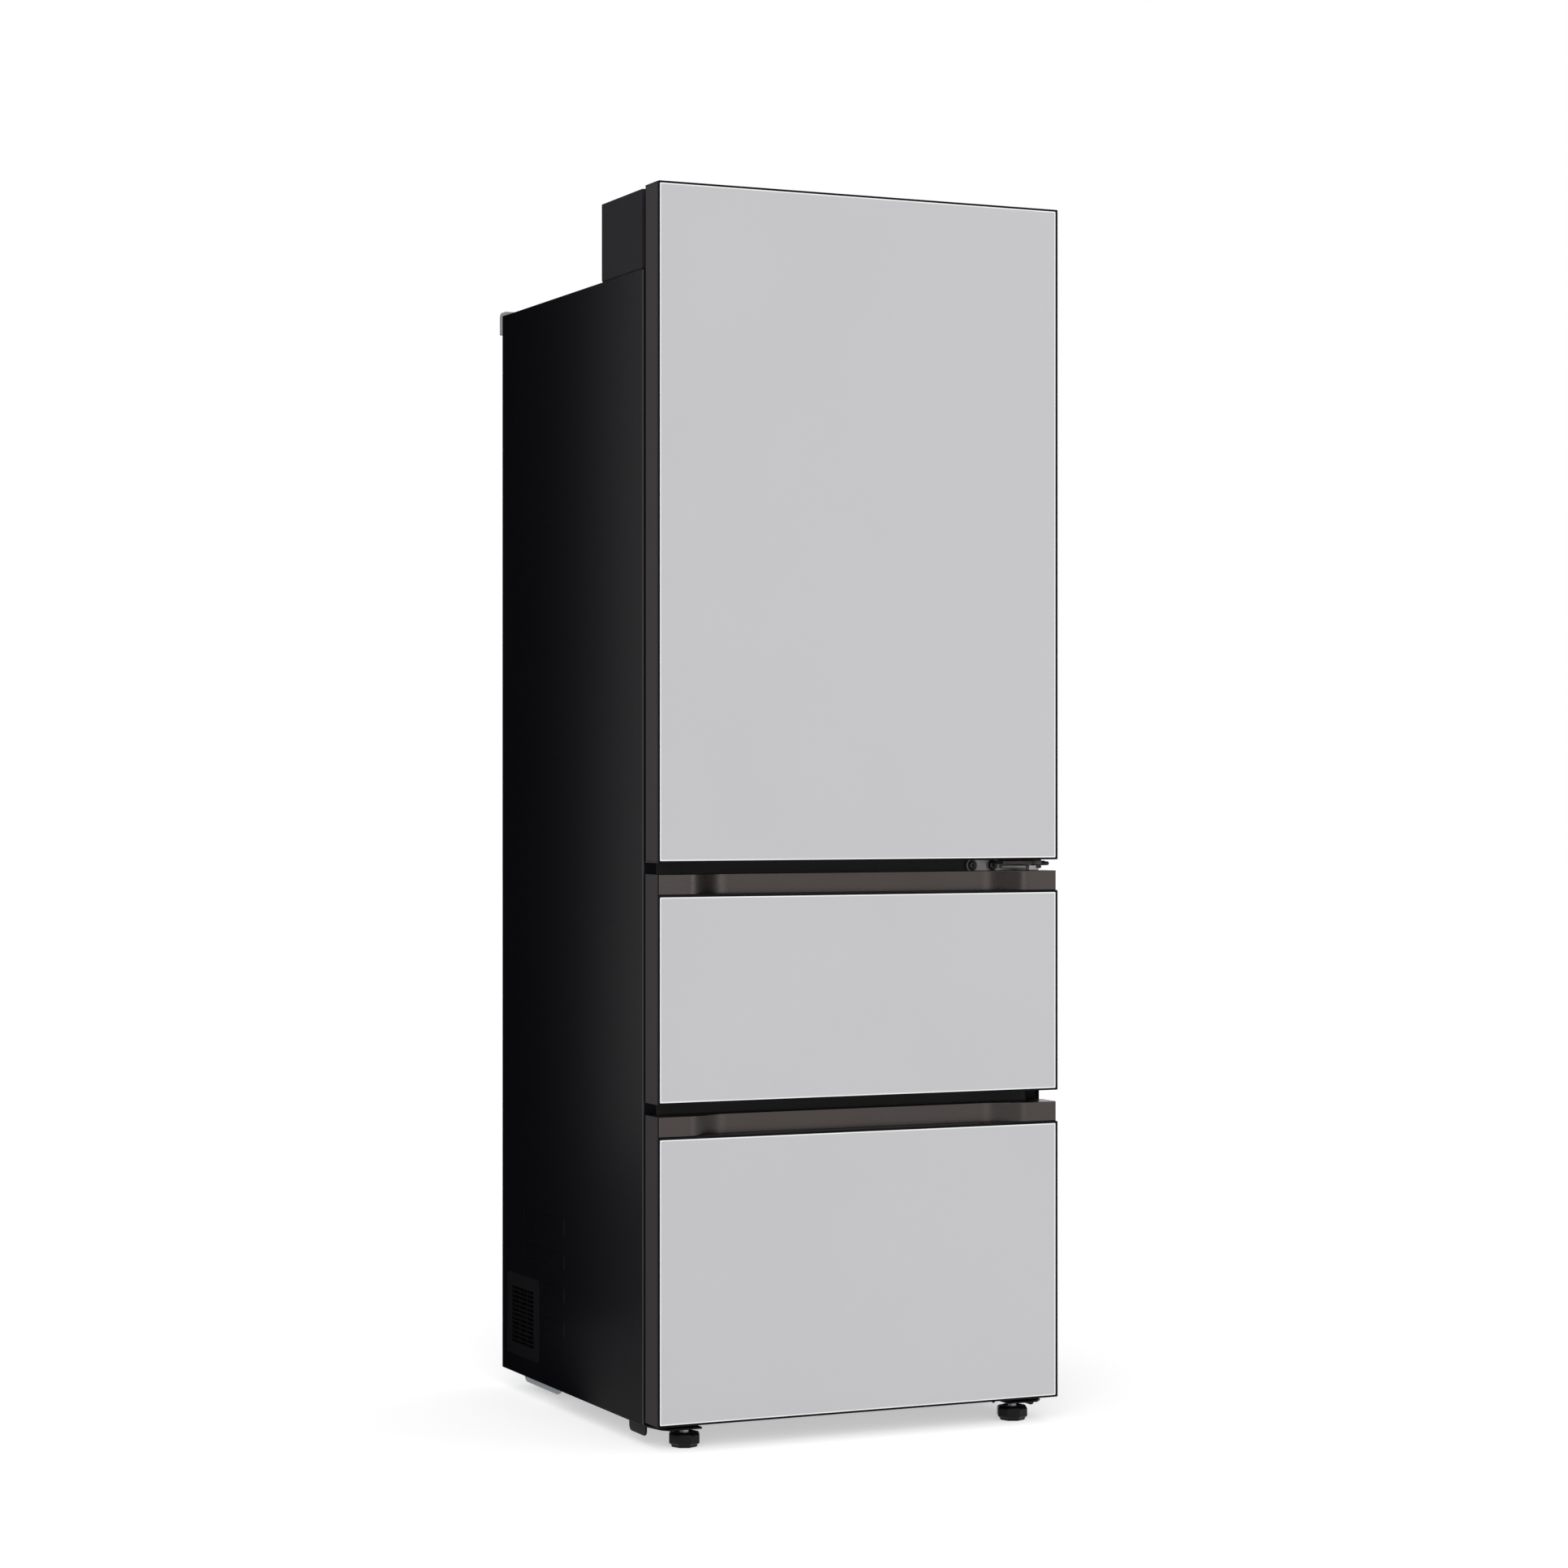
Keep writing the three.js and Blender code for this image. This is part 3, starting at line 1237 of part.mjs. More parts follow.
makeDoor();
makeDoorLiner();
addGasket(door, 'door_gasket', upperCavity);
makeDoorBins();

// ---------------------------------------------------------------- drawer fronts

function trimPlan() {
  const flatY = frontFace + trimSetback;
  const deepY = flatY + trimRecess;
  const end = halfWidth - trimEndInset;
  const bend = halfWidth - trimFlatEnd;
  const middle = bend - trimCurveLength;
  const entry = bend - trimCurveEntry;
  const exit = middle + trimCurveExit;
  const shape = new THREE.Shape();
  shape.moveTo(-end, frontRear);
  shape.lineTo(-end, flatY);
  shape.lineTo(-bend, flatY);
  shape.bezierCurveTo(-entry, flatY, -exit, deepY, -middle, deepY);
  shape.lineTo(middle, deepY);
  shape.bezierCurveTo(exit, deepY, entry, flatY, bend, flatY);
  shape.lineTo(end, flatY);
  shape.lineTo(end, frontRear);
  shape.closePath();
  return shape;
}

function makeDrawerFront(group, name, bottom, panelTop) {
  const trimTop = panelTop + trimHeight;
  const panel = block(span(halfWidth), [frontFace, panelRear], [bottom, panelTop]);
  addPiece(group, `${name}_panel`, panel, panelGrey);

  const cheekInner = halfWidth - trimEndInset + seat;
  const pocket = [panelRear + pocketLipWall, frontFace + trimSetback + trimRecess];
  const front = cut(
    join(
      block(span(halfWidth), [panelRear, frontRear], [bottom, panelTop]),
      ...sides.map(([, side]) => sideBlock(side, [cheekInner, halfWidth], [panelRear + cheekSetback, frontRear],
        [panelTop - 1, trimTop])),
    ),
    block(span(halfWidth - pocketSideInset), pocket, [panelTop - pocketDepth, panelTop + 1]),
  );
  addPiece(group, `${name}_front`, front, frameBrown);
  addPiece(group, `${name}_handle_trim`, prismZ(trimPlan(), [panelTop, trimTop], 8), trimBronze);
}

// ---------------------------------------------------------------- telescopic slides

const slideSpan = [cabinetFront + slideFromFront, cavityRear - slideFromRear];
const outerHalf = slideHeight / 2;
const intermediateHalf = outerHalf - slideSteel - slideBallRace;
const innerHalf = intermediateHalf - slideSteel - slideBallRace;

// A slide section in [distance from the liner wall, height about the slide centre], placed on one side.
function slideSection(side, centre, points) {
  return outline(points.map(([u, h]) => [side * (cavityHalf - u), centre + h]));
}

function cabinetMember(side, centre) {
  const inner = outerHalf - slideSteel;
  const lipEnd = inner - slideLip;
  return prismY(slideSection(side, centre, [
    [0, -outerHalf], [slideDepth, -outerHalf], [slideDepth, -lipEnd], [slideDepth - slideSteel, -lipEnd],
    [slideDepth - slideSteel, -inner], [slideSteel, -inner], [slideSteel, inner], [slideDepth - slideSteel, inner],
    [slideDepth - slideSteel, lipEnd], [slideDepth, lipEnd], [slideDepth, outerHalf], [0, outerHalf],
  ]), slideSpan);
}

// The steel profile of a moving member, and the ball races above and below it.
function movingMember(side, centre, half, raceTop, webAt, flangeEnd, y) {
  const webIn = webAt < flangeEnd ? webAt + slideSteel : webAt - slideSteel;
  const profile = prismY(slideSection(side, centre, [
    [webAt, -half], [flangeEnd, -half], [flangeEnd, -half + slideSteel], [webIn, -half + slideSteel],
    [webIn, half - slideSteel], [flangeEnd, half - slideSteel], [flangeEnd, half], [webAt, half],
  ]), y);
  const { from, to, taper, fromFront, fromRear } = slideRace;
  const races = [-1, 1].map((end) => prismY(slideSection(side, centre, [
    [from, end * (half - slideSteel / 2)],
    [to, end * (half - slideSteel / 2)],
    [to - taper, end * raceTop],
    [from + taper, end * raceTop],
  ]), [y[0] + fromFront, y[1] - fromRear]));
  return join(profile, ...races);
}

function intermediateMember(side, centre) {
  const y = [slideSpan[0] + intermediateShorter, slideSpan[1]];
  const raceTop = outerHalf - slideSteel - seat;
  const flangeEnd = slideDepth - slideSteel - seat;
  return movingMember(side, centre, intermediateHalf, raceTop, slideMemberStep, flangeEnd, y);
}

const carriageOffset = slideDepth + carriageFromSlide;
const drawerWeb = slideDepth - slideSteel;

function makeCarriage(group, name, centre) {
  const raceTop = intermediateHalf - slideSteel - seat;
  const rear = slideSpan[1];
  const shelfTop = centre + carriageRise;
  const u = (near, far) => [cavityHalf - far, cavityHalf - near];
  let carriage = block(span(cavityHalf - carriageOffset - carriageWall / 2), [rear - carriageBar.depth, rear],
    [centre - carriageBar.half, centre + carriageBar.half]);
  for (const [, side] of sides) {
    carriage = join(
      carriage,
      movingMember(side, centre, innerHalf, raceTop, drawerWeb, drawerWeb - drawerFlange, slideSpan),
      sideBlock(side, u(carriageOffset, carriageOffset + carriageWall), [frontRear, rear],
        [centre - carriageOverlap, shelfTop]),
      sideBlock(side, u(carriageOffset, carriageOffset + carriageShelf), [frontRear, rear],
        [shelfTop - carriageWall, shelfTop]),
      sideBlock(side, u(carriageOffset, carriageOffset + carriageBracket.width),
        [frontRear, frontRear + 2 * carriageWall], [centre - carriageBracket.drop, shelfTop]),
    );
    const { shares, halfLength, halfHeight } = carriageJoints;
    for (const share of shares) {
      const y = slideSpan[0] + share * (slideSpan[1] - slideSpan[0]);
      const depths = u(drawerWeb - slideSteel / 2, carriageOffset + carriageWall / 2);
      carriage = carriage.add(sideBlock(side, depths, [y - halfLength, y + halfLength],
        [centre - halfHeight, centre + halfHeight]));
    }
  }
  addPiece(group, `${name}_carriage`, carriage, zincSteel);
}

// ---------------------------------------------------------------- drawer bins

function makeBin(group, name, cavity, centre) {
  const rimBottom = centre + carriageRise + seat;
  const rimTop = rimBottom + binWall;
  const half = cavityHalf - carriageOffset - carriageShelf - binBesideShelf;
  const front = frontRear + binFrontGap;
  const rear = slideSpan[1] - binRearGap;
  const floor = cavity.bottom + binFloorGap;
  const stepY = stepFront - binFloorGap;
  const stepFloor = stepTop + binFloorGap;
  const rimHalf = cavityHalf - carriageOffset - binRimPlay;
  const body = (wall, top) => {
    const x = span(half - wall);
    if (name !== 'lower') return tapered(x, [front + wall, rear - wall], [floor + wall, top], binTaper);
    return join(
      tapered(x, [front + wall, stepY - wall], [floor + wall, top], binTaper),
      tapered(x, [front + wall, rear - wall], [stepFloor + wall, top], binTaper / 2),
    );
  };
  const rim = block(span(rimHalf), [front - binRim, rear], [rimBottom, rimTop]);
  const bin = cut(join(body(0, rimTop), rim), body(binWall, rimTop + 1));
  addPiece(group, `${name}_bin`, bin, binGrey);
}

// ---------------------------------------------------------------- drawers

const drawers = [
  { name: 'middle', cavity: middleCavity, bottom: middleFrontBottom, panelTop: middlePanelTop },
  { name: 'lower', cavity: lowerCavity, bottom: lowerFrontBottom, panelTop: lowerPanelTop },
];

for (const { name, cavity, bottom, panelTop } of drawers) {
  const drawer = new THREE.Group();
  appliance.add(drawer);
  const centre = cavity.top - slideBelowOpening;
  makeDrawerFront(drawer, name, bottom, panelTop);
  addGasket(drawer, `${name}_gasket`, cavity);
  makeCarriage(drawer, name, centre);
  makeBin(drawer, name, cavity, centre);
  for (const [word, side] of sides) {
    addPiece(cabinet, `${name}_rail_${word}`, cabinetMember(side, centre), zincSteel);
    addPiece(appliance, `${name}_slide_${word}`, intermediateMember(side, centre), zincSteel);
  }
}

export default appliance;
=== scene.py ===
import math

import bmesh
import bpy
from mathutils import Matrix, Vector
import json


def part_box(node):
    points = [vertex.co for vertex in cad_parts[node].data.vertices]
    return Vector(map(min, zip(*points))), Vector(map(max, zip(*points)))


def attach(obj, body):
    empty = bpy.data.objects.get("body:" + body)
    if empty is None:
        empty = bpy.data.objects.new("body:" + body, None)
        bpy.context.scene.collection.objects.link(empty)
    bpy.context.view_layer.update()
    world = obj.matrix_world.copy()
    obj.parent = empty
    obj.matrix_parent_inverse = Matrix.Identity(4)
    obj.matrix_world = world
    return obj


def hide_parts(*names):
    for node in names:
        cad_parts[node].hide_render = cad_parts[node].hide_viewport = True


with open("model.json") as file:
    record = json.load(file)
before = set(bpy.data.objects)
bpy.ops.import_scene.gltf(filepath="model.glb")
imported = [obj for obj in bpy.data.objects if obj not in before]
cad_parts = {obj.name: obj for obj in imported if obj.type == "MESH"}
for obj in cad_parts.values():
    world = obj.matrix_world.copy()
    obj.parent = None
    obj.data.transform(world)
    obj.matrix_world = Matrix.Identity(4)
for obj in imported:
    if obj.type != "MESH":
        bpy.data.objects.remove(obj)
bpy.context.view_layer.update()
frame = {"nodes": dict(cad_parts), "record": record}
nodes = frame["nodes"]
bodyOf = {}
for bodyName, members in frame["record"]["behaviour"]["bodies"].items():
    bodyOf.update({member: bodyName for member in members})
slotOf = {part["node"]: part["material_slot"] for part in frame["record"]["subparts"]}
print("frame loaded:", len(nodes), "nodes")

mm = 0.001


# finishes

def shade(red, green, blue):  # a colour as seen on screen, in Blender's linear values
    def channel(value):
        value /= 255
        return value / 12.92 if value <= 0.04045 else ((value + 0.055) / 1.055) ** 2.4
    return (channel(red), channel(green), channel(blue), 1.0)


# colour as seen on screen; tone = how far the colour drifts; drift and grain = patterns per metre;
# stretch draws the grain out along an axis; bump = grain height in metres; spread = roughness drift
finishLooks = {
    "panelFace": {"colour": (196, 196, 198), "tone": 0.012, "drift": 3, "grain": 2600, "bump": 4e-6,
                  "spread": (0.36, 0.42), "shader": {"Specular IOR Level": 0.35}},
    # the panels' rounded rim: the same paint as the face, painted lighter as a highlight
    "panelRimPaintedHighlight": {"colour": (242, 242, 244), "tone": 0.01, "drift": 20, "grain": 1800, "bump": 2e-6,
                 "spread": (0.22, 0.3), "shader": {"Specular IOR Level": 0.6}},
    "panelSide": {"colour": (14, 14, 15), "tone": 0.1, "drift": 30, "grain": 1500, "bump": 6e-6,
                  "spread": (0.4, 0.5), "shader": {"Specular IOR Level": 0.06}},
    "frame_brown": {"colour": (58, 55, 55), "tone": 0.03, "drift": 14, "grain": 1600, "bump": 1.5e-5,
                    "spread": (0.42, 0.52), "shader": {"Specular IOR Level": 0.06}},
    "trim_bronze": {"colour": (69, 64, 62), "tone": 0.03, "drift": 9, "grain": 900, "stretch": (0.01, 1, 1),
                    "bump": 4e-6, "spread": (0.27, 0.32), "shader": {"Metallic": 0.9}},
    "skin_black": {"colour": (12, 12, 16), "tone": 0.05, "drift": 4, "grain": 700, "bump": 6e-6,
                   "spread": (0.2, 0.25),
                   "shader": {"Specular IOR Level": 0.038, "Specular Tint": (0.88, 0.92, 1.0, 1)}},
    # the lip along the cabinet's front edges: the skin's black paint, painted lighter as a highlight
    "skinEdgePaintedHighlight": {"colour": (56, 57, 60), "tone": 0.05, "drift": 20, "grain": 900, "bump": 6e-6,
                 "spread": (0.4, 0.5), "shader": {"Specular IOR Level": 0.08}},
    "box_black": {"colour": (42, 41, 45), "tone": 0.05, "drift": 12, "grain": 2200, "bump": 3e-5,
                  "spread": (0.5, 0.6), "shader": {"Specular IOR Level": 0.03}},
    # black of the mullion covers, made lighter than the other black covers: painted light against the shade
    # of the gap between the doors
    "mullionBlackPaintedLight": {"colour": (55, 55, 54), "tone": 0.05, "drift": 12, "grain": 1800, "bump": 2e-5,
                     "spread": (0.45, 0.55), "shader": {"Specular IOR Level": 0.1}},
    "ventBlack": {"colour": (17, 17, 19), "tone": 0.08, "drift": 20, "grain": 1800, "bump": 2e-5,
                  "spread": (0.4, 0.5), "shader": {"Specular IOR Level": 0.03}},
    # the strip along the front of each pressed field: the skin's paint, painted lighter as the highlight of
    # its lit slope
    "pressPaintedHighlight": {"colour": (27, 27, 29), "tone": 0.05, "drift": 20, "grain": 900, "bump": 6e-6,
                  "spread": (0.4, 0.5), "shader": {"Specular IOR Level": 0.03}},
    # the base's galvanised steel, made nearly white: painted light against the shade it sits in
    "baseSteelPaintedLight": {"colour": (214, 218, 221), "tone": 0.08, "drift": 90, "grain": 260, "bump": 1e-5,
                  "spread": (0.4, 0.55), "shader": {"Metallic": 0.2, "Specular IOR Level": 0.3}},
    "nutZinc": {"colour": (222, 234, 240), "tone": 0.05, "drift": 120, "grain": 900, "bump": 4e-6,
                "spread": (0.25, 0.35), "shader": {"Metallic": 0.35}},
    # black paint of the condenser coil, made darker still as painted shade inside the machine room
    "coilBlackAndPaintedShade": {"colour": (7, 7, 8), "tone": 0.08, "drift": 60, "grain": 900, "bump": 1e-5,
                  "spread": (0.4, 0.5), "shader": {"Specular IOR Level": 0.2}},
    "hinge_grey": {"colour": (178, 176, 173), "tone": 0.08, "drift": 60, "grain": 900, "bump": 1e-5,
                   "spread": (0.38, 0.5), "shader": {"Metallic": 0.4, "Specular IOR Level": 0.2}},
    "hinge_brown": {"colour": (100, 93, 92), "tone": 0.08, "drift": 60, "grain": 900, "bump": 1e-5,
                    "spread": (0.4, 0.55), "shader": {"Specular IOR Level": 0.15}},
    "screw_black": {"colour": (22, 22, 23), "tone": 0.1, "drift": 200, "grain": 1500, "bump": 5e-6,
                    "spread": (0.25, 0.35), "shader": {"Specular IOR Level": 0.3}},
    "liner_white": {"colour": (228, 230, 232), "tone": 0.012, "drift": 6, "grain": 900, "bump": 1.5e-5,
                    "spread": (0.36, 0.46), "shader": {"Specular IOR Level": 0.45}},
    "foam_cream": {"colour": (226, 214, 172), "tone": 0.06, "drift": 40, "grain": 600, "bump": 3e-4,
                   "spread": (0.8, 0.95), "shader": {}},
    "rubber_grey": {"colour": (72, 74, 77), "tone": 0.05, "drift": 25, "grain": 1500, "bump": 2e-5,
                    "spread": (0.6, 0.72), "shader": {"Specular IOR Level": 0.3}},
    "zinc_steel": {"colour": (160, 163, 166), "tone": 0.06, "drift": 60, "grain": 700,
                   "stretch": (1, 0.03, 1), "bump": 1.2e-5, "spread": (0.28, 0.42),
                   "shader": {"Metallic": 1.0}},
    "galvanised": {"colour": (146, 149, 151), "tone": 0.1, "drift": 90, "grain": 260, "bump": 1e-5,
                   "spread": (0.36, 0.55), "shader": {"Metallic": 0.85}},
    "leg_black": {"colour": (15, 15, 17), "tone": 0.08, "drift": 30, "grain": 1500, "bump": 1e-5,
                  "spread": (0.26, 0.36), "shader": {"Specular IOR Level": 0.14}},
    "bracket_black": {"colour": (18, 18, 19), "tone": 0.08, "drift": 30, "grain": 1100, "bump": 1e-5,
                      "spread": (0.3, 0.4), "shader": {"Specular IOR Level": 0.08}},
    "clear_tray": {"colour": (236, 242, 245), "tone": 0.02, "drift": 12, "grain": 500, "bump": 4e-6,
                   "spread": (0.08, 0.14), "shader": {"Transmission Weight": 0.82, "IOR": 1.49}},
    "bin_grey": {"colour": (176, 180, 184), "tone": 0.02, "drift": 10, "grain": 1200, "bump": 1.6e-5,
                 "spread": (0.42, 0.52), "shader": {"Specular IOR Level": 0.4}},
    "shelf_glass": {"colour": (205, 226, 220), "tone": 0.02, "drift": 8, "grain": 300, "bump": 1e-6,
                    "spread": (0.03, 0.06), "shader": {"Transmission Weight": 0.9, "IOR": 1.5}},
    "aluminium": {"colour": (184, 187, 190), "tone": 0.05, "drift": 70, "grain": 600, "stretch": (1, 1, 0.04),
                  "bump": 1e-5, "spread": (0.3, 0.45), "shader": {"Metallic": 1.0}},
    "motor_black": {"colour": (20, 20, 22), "tone": 0.1, "drift": 25, "grain": 900, "bump": 4e-5,
                    "spread": (0.35, 0.5), "shader": {"Specular IOR Level": 0.5}},
    "board_green": {"colour": (38, 88, 56), "tone": 0.12, "drift": 160, "grain": 900, "bump": 3e-5,
                    "spread": (0.35, 0.5), "shader": {}},
    "spacer_grey": {"colour": (158, 158, 158), "tone": 0.04, "drift": 20, "grain": 1500, "bump": 2e-5,
                    "spread": (0.5, 0.6), "shader": {"Specular IOR Level": 0.3}},
}


# what all finishes share: how fine the two patterns are and which part of their values counts
patterns = {"driftDetail": 4, "driftRange": (0.3, 0.7), "grainDetail": 2, "grainRange": (0.35, 0.65)}


def wire(tree, kind, inputs, output=0, **settings):  # adds one node and gives one of its outputs
    node = tree.nodes.new(kind)
    for setting, value in settings.items():
        setattr(node, setting, value)
    for socket, value in inputs.items():
        if isinstance(value, bpy.types.NodeSocket):
            tree.links.new(value, node.inputs[socket])
        else:
            node.inputs[socket].default_value = value
    return None if output is None else node.outputs[output]


def makeFinish(name, look):
    material = bpy.data.materials.new(name)
    material.use_nodes = True
    tree = material.node_tree
    shader = tree.nodes["Principled BSDF"]
    for socketName, value in look["shader"].items():
        shader.inputs[socketName].default_value = value
    place = wire(tree, "ShaderNodeTexCoord", {}, "Object")

    def noise(scale, detail, stretch=(1, 1, 1)):
        mapping = wire(tree, "ShaderNodeMapping", {"Vector": place, "Scale": stretch})
        return wire(tree, "ShaderNodeTexNoise", {"Vector": mapping, "Scale": scale, "Detail": detail})

    def spreadOut(value, start, end):
        return wire(tree, "ShaderNodeMapRange", {
            "Value": value, "From Min": start[0], "From Max": start[1], "To Min": end[0], "To Max": end[1]})
    drift = noise(look["drift"], patterns["driftDetail"])
    grain = noise(look["grain"], patterns["grainDetail"], look.get("stretch", (1, 1, 1)))
    tints = [tuple(min(1, channel * tone) for channel in shade(*look["colour"])[:3]) + (1,)
             for tone in (1 - look["tone"], 1 + look["tone"])]
    surface = {
        "Base Color": wire(tree, "ShaderNodeMix", {
            "Factor": spreadOut(drift, patterns["driftRange"], (0, 1)), "A": tints[0], "B": tints[1],
        }, "Result", data_type="RGBA"),
        "Roughness": spreadOut(grain, patterns["grainRange"], look["spread"]),
        "Normal": wire(tree, "ShaderNodeBump", {"Distance": look["bump"], "Height": grain}),
    }
    for socketName, value in surface.items():
        tree.links.new(value, shader.inputs[socketName])
    return material


finishes = {name: makeFinish(name, look) for name, look in finishLooks.items()}
print("finishes made:", len(finishes))


# making pieces

# distance at which a solid's doubled points merge, and the angle below which its faces count as one
cleaning = {"merge": 0.01 * mm, "flat": 0.5}
middleRow = 0.3  # where the middle row of a small rounding lies, as a share of its size


def linked(name, data):
    made = bpy.data.objects.new(name, data)
    bpy.context.scene.collection.objects.link(made)
    return made


def addPiece(name, bm, finishNames, body, slotName, replaced=(), sharpAngle=35):
    mesh = bpy.data.meshes.new(name)
    bm.to_mesh(mesh)
    bm.free()
    mesh.shade_smooth()
    mesh.set_sharp_from_angle(angle=math.radians(sharpAngle))
    for finishName in finishNames:
        mesh.materials.append(finishes[finishName])
    piece = linked(name, mesh)
    shading = piece.modifiers.new("even shading", "WEIGHTED_NORMAL")
    shading.weight = 100
    shading.keep_sharp = True
    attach(piece, body)
    if replaced:
        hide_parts(*replaced)
    return piece


def addFinished(node, bm, finishNames=None, sharpAngle=35):  # the piece that takes a CAD node's place
    slotName = slotOf[node]
    addPiece("finished_" + node, bm, finishNames or [slotName], bodyOf[node], slotName, [node], sharpAngle)


def mergedCopy(node):
    bm = bmesh.new()
    bm.from_mesh(nodes[node].data)
    bmesh.ops.remove_doubles(bm, verts=bm.verts, dist=cleaning["merge"])
    bmesh.ops.dissolve_limit(bm, angle_limit=math.radians(cleaning["flat"]), verts=bm.verts, edges=bm.edges)
    return bm


def roundEdges(bm, width, segments=2, angle=35, chosen=lambda edge: True):
    sharp = [edge for edge in bm.edges
             if len(edge.link_faces) == 2 and edge.calc_face_angle(0) > math.radians(angle) and chosen(edge)]
    if sharp:
        bmesh.ops.bevel(bm, geom=sharp, offset=width, offset_type="OFFSET", segments=segments,
                        profile=0.5, affect="EDGES", clamp_overlap=False)


def roundAll(bm, edges, width, segments, material):  # the new faces get one finish
    made = bmesh.ops.bevel(bm, geom=list(edges), offset=width, offset_type="OFFSET", segments=segments,
                           profile=0.5, affect="EDGES", clamp_overlap=True, material=-1)
    for face in made["faces"]:
        face.material_index = material


def boxVerts(bm, lo, hi):
    made = bmesh.ops.create_cube(bm, size=1)["verts"]
    middle = Matrix.Translation((Vector(lo) + Vector(hi)) / 2)
    size = Matrix.Diagonal((*(Vector(hi) - Vector(lo)), 1))
    bmesh.ops.transform(bm, matrix=middle @ size, verts=made)
    return made


def drawnOut(bm, points, shift):  # the solid between an outline and its copy further on; gives its faces
    base = bm.faces.new([bm.verts.new(point) for point in points])
    copied = bmesh.ops.extrude_face_region(bm, geom=[base])["geom"]
    moved = [vert for vert in copied if isinstance(vert, bmesh.types.BMVert)]
    bmesh.ops.translate(bm, vec=shift, verts=moved)
    faces = {face for vert in moved + list(base.verts) for face in vert.link_faces}
    bmesh.ops.recalc_face_normals(bm, faces=list(faces))
    return faces


def roundedLoop(us, vs, corner, steps, cuts=0):  # radii: right front, right rear, left rear, left front
    radii = corner if isinstance(corner, tuple) else (corner,) * 4
    corners = ((us[1], vs[0], -1, 1, -90), (us[1], vs[1], -1, -1, 0),
               (us[0], vs[1], 1, -1, 90), (us[0], vs[0], 1, 1, 180))
    arcs = []
    for radius, (u, v, alongU, alongV, start) in zip(radii, corners):
        turns = [math.radians(start + 90 * step / steps) for step in range(steps + 1)]
        arcs.append([(u + radius * (alongU + math.cos(turn)), v + radius * (alongV + math.sin(turn)))
                     for turn in turns])
    points = []
    for arc, after in zip(arcs, arcs[1:] + arcs[:1]):
        points += arc
        for cut in range(1, cuts + 1):
            share = cut / (cuts + 1)
            points.append(tuple(a + (b - a) * share for a, b in zip(arc[-1], after[0])))
    return points


# a closed skin through rounded rectangles; a band has its first row's finish
def lofted(stations, place, steps=5, cuts=0):
    bm = bmesh.new()
    loops = []
    for row in stations:
        points = roundedLoop(row["u"], row["v"], row["corner"], steps, cuts)
        loops.append([bm.verts.new(place(u, v, row["w"])) for u, v in points])
    for row, near, far in zip(stations, loops, loops[1:]):
        for i, vert in enumerate(near):
            after = (i + 1) % len(near)
            face = bm.faces.new((vert, near[after], far[after], far[i]))
            face.material_index = row.get("finish", 0)
    for row, loop in ((stations[0], loops[0]), (stations[-1], loops[-1])):
        bm.faces.new(loop).material_index = row.get("finish", 0)
    bmesh.ops.recalc_face_normals(bm, faces=bm.faces)
    return bm


def softened(node, width, segments, finishName=None):
    bm = mergedCopy(node)
    roundEdges(bm, width, segments)
    addFinished(node, bm, [finishName or slotOf[node]])


def dressed(node, finishName=None):  # a CAD node that stays as it is, under its finish
    mesh = nodes[node].data
    mesh.materials.clear()
    mesh.materials.append(finishes[finishName or slotOf[node]])


# fronts

# rows of left, right and upper inset in mm, depth behind the face and finish of the band that starts there;
# the bands of finish 1 are the rim, painted lighter than the face as a highlight
panelShape = {
    "corner": 1.3 * mm, "steps": 3, "sharp": 15, "finishes": ["panelFace", "panelRimPaintedHighlight", "panelSide"],
    "bands": [(0, 0, 0, 5, 2), (0, 0, 0, 0.9, 2), (0.2, 0.4, 0.3, 0.5, 2),
              (2.1, 4.2, 3.2, 0.2, 1), (2.5, 4.6, 3.6, 0, 1), (3.6, 5.9, 4.9, 0, 0)],
}


def makePanel(node):
    lo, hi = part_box(node)
    stations = []
    for left, right, inset, depth, finish in panelShape["bands"]:
        across = (lo.x + left * mm, hi.x - right * mm)
        heights = (lo.z + inset * mm, hi.z - inset * mm)
        stations.append({"u": across, "v": heights, "w": lo.y + depth * mm, "corner": panelShape["corner"],
                         "finish": finish})
    bm = lofted(stations, lambda u, v, w: (u, w, v), panelShape["steps"])
    addFinished(node, bm, panelShape["finishes"], panelShape["sharp"])


for panelNode in ("door_panel", "middle_panel", "lower_panel"):
    makePanel(panelNode)
print("panels made")

# the S-curves that lead into the recess: where they start, how long they are and how far their ends draw
trimShape = {
    "flatEnd": 44 * mm, "curve": 84 * mm, "entry": 32 * mm, "exit": 46 * mm, "recess": 21.5 * mm,
    "curveSteps": 36, "rounding": 0.9 * mm, "roundingSteps": 3, "sharp": 40,
}


def trimFace(lo, hi):  # front edge of the trim in plan, from the left end to the right
    bend = hi.x - trimShape["flatEnd"]
    middle = bend - trimShape["curve"]
    entry = bend - trimShape["entry"]
    leave = middle + trimShape["exit"]
    curve = []
    for step in range(trimShape["curveSteps"] + 1):
        t = step / trimShape["curveSteps"]
        late = 3 * t * t * (1 - t)
        x = bend * (1 - t) ** 3 + entry * 3 * t * (1 - t) ** 2 + leave * late + middle * t ** 3
        curve.append((x, lo.y + trimShape["recess"] * (late + t ** 3)))
    left = [(-x, y) for x, y in curve]
    return [(lo.x, lo.y), *left, *reversed(curve), (hi.x, lo.y)]


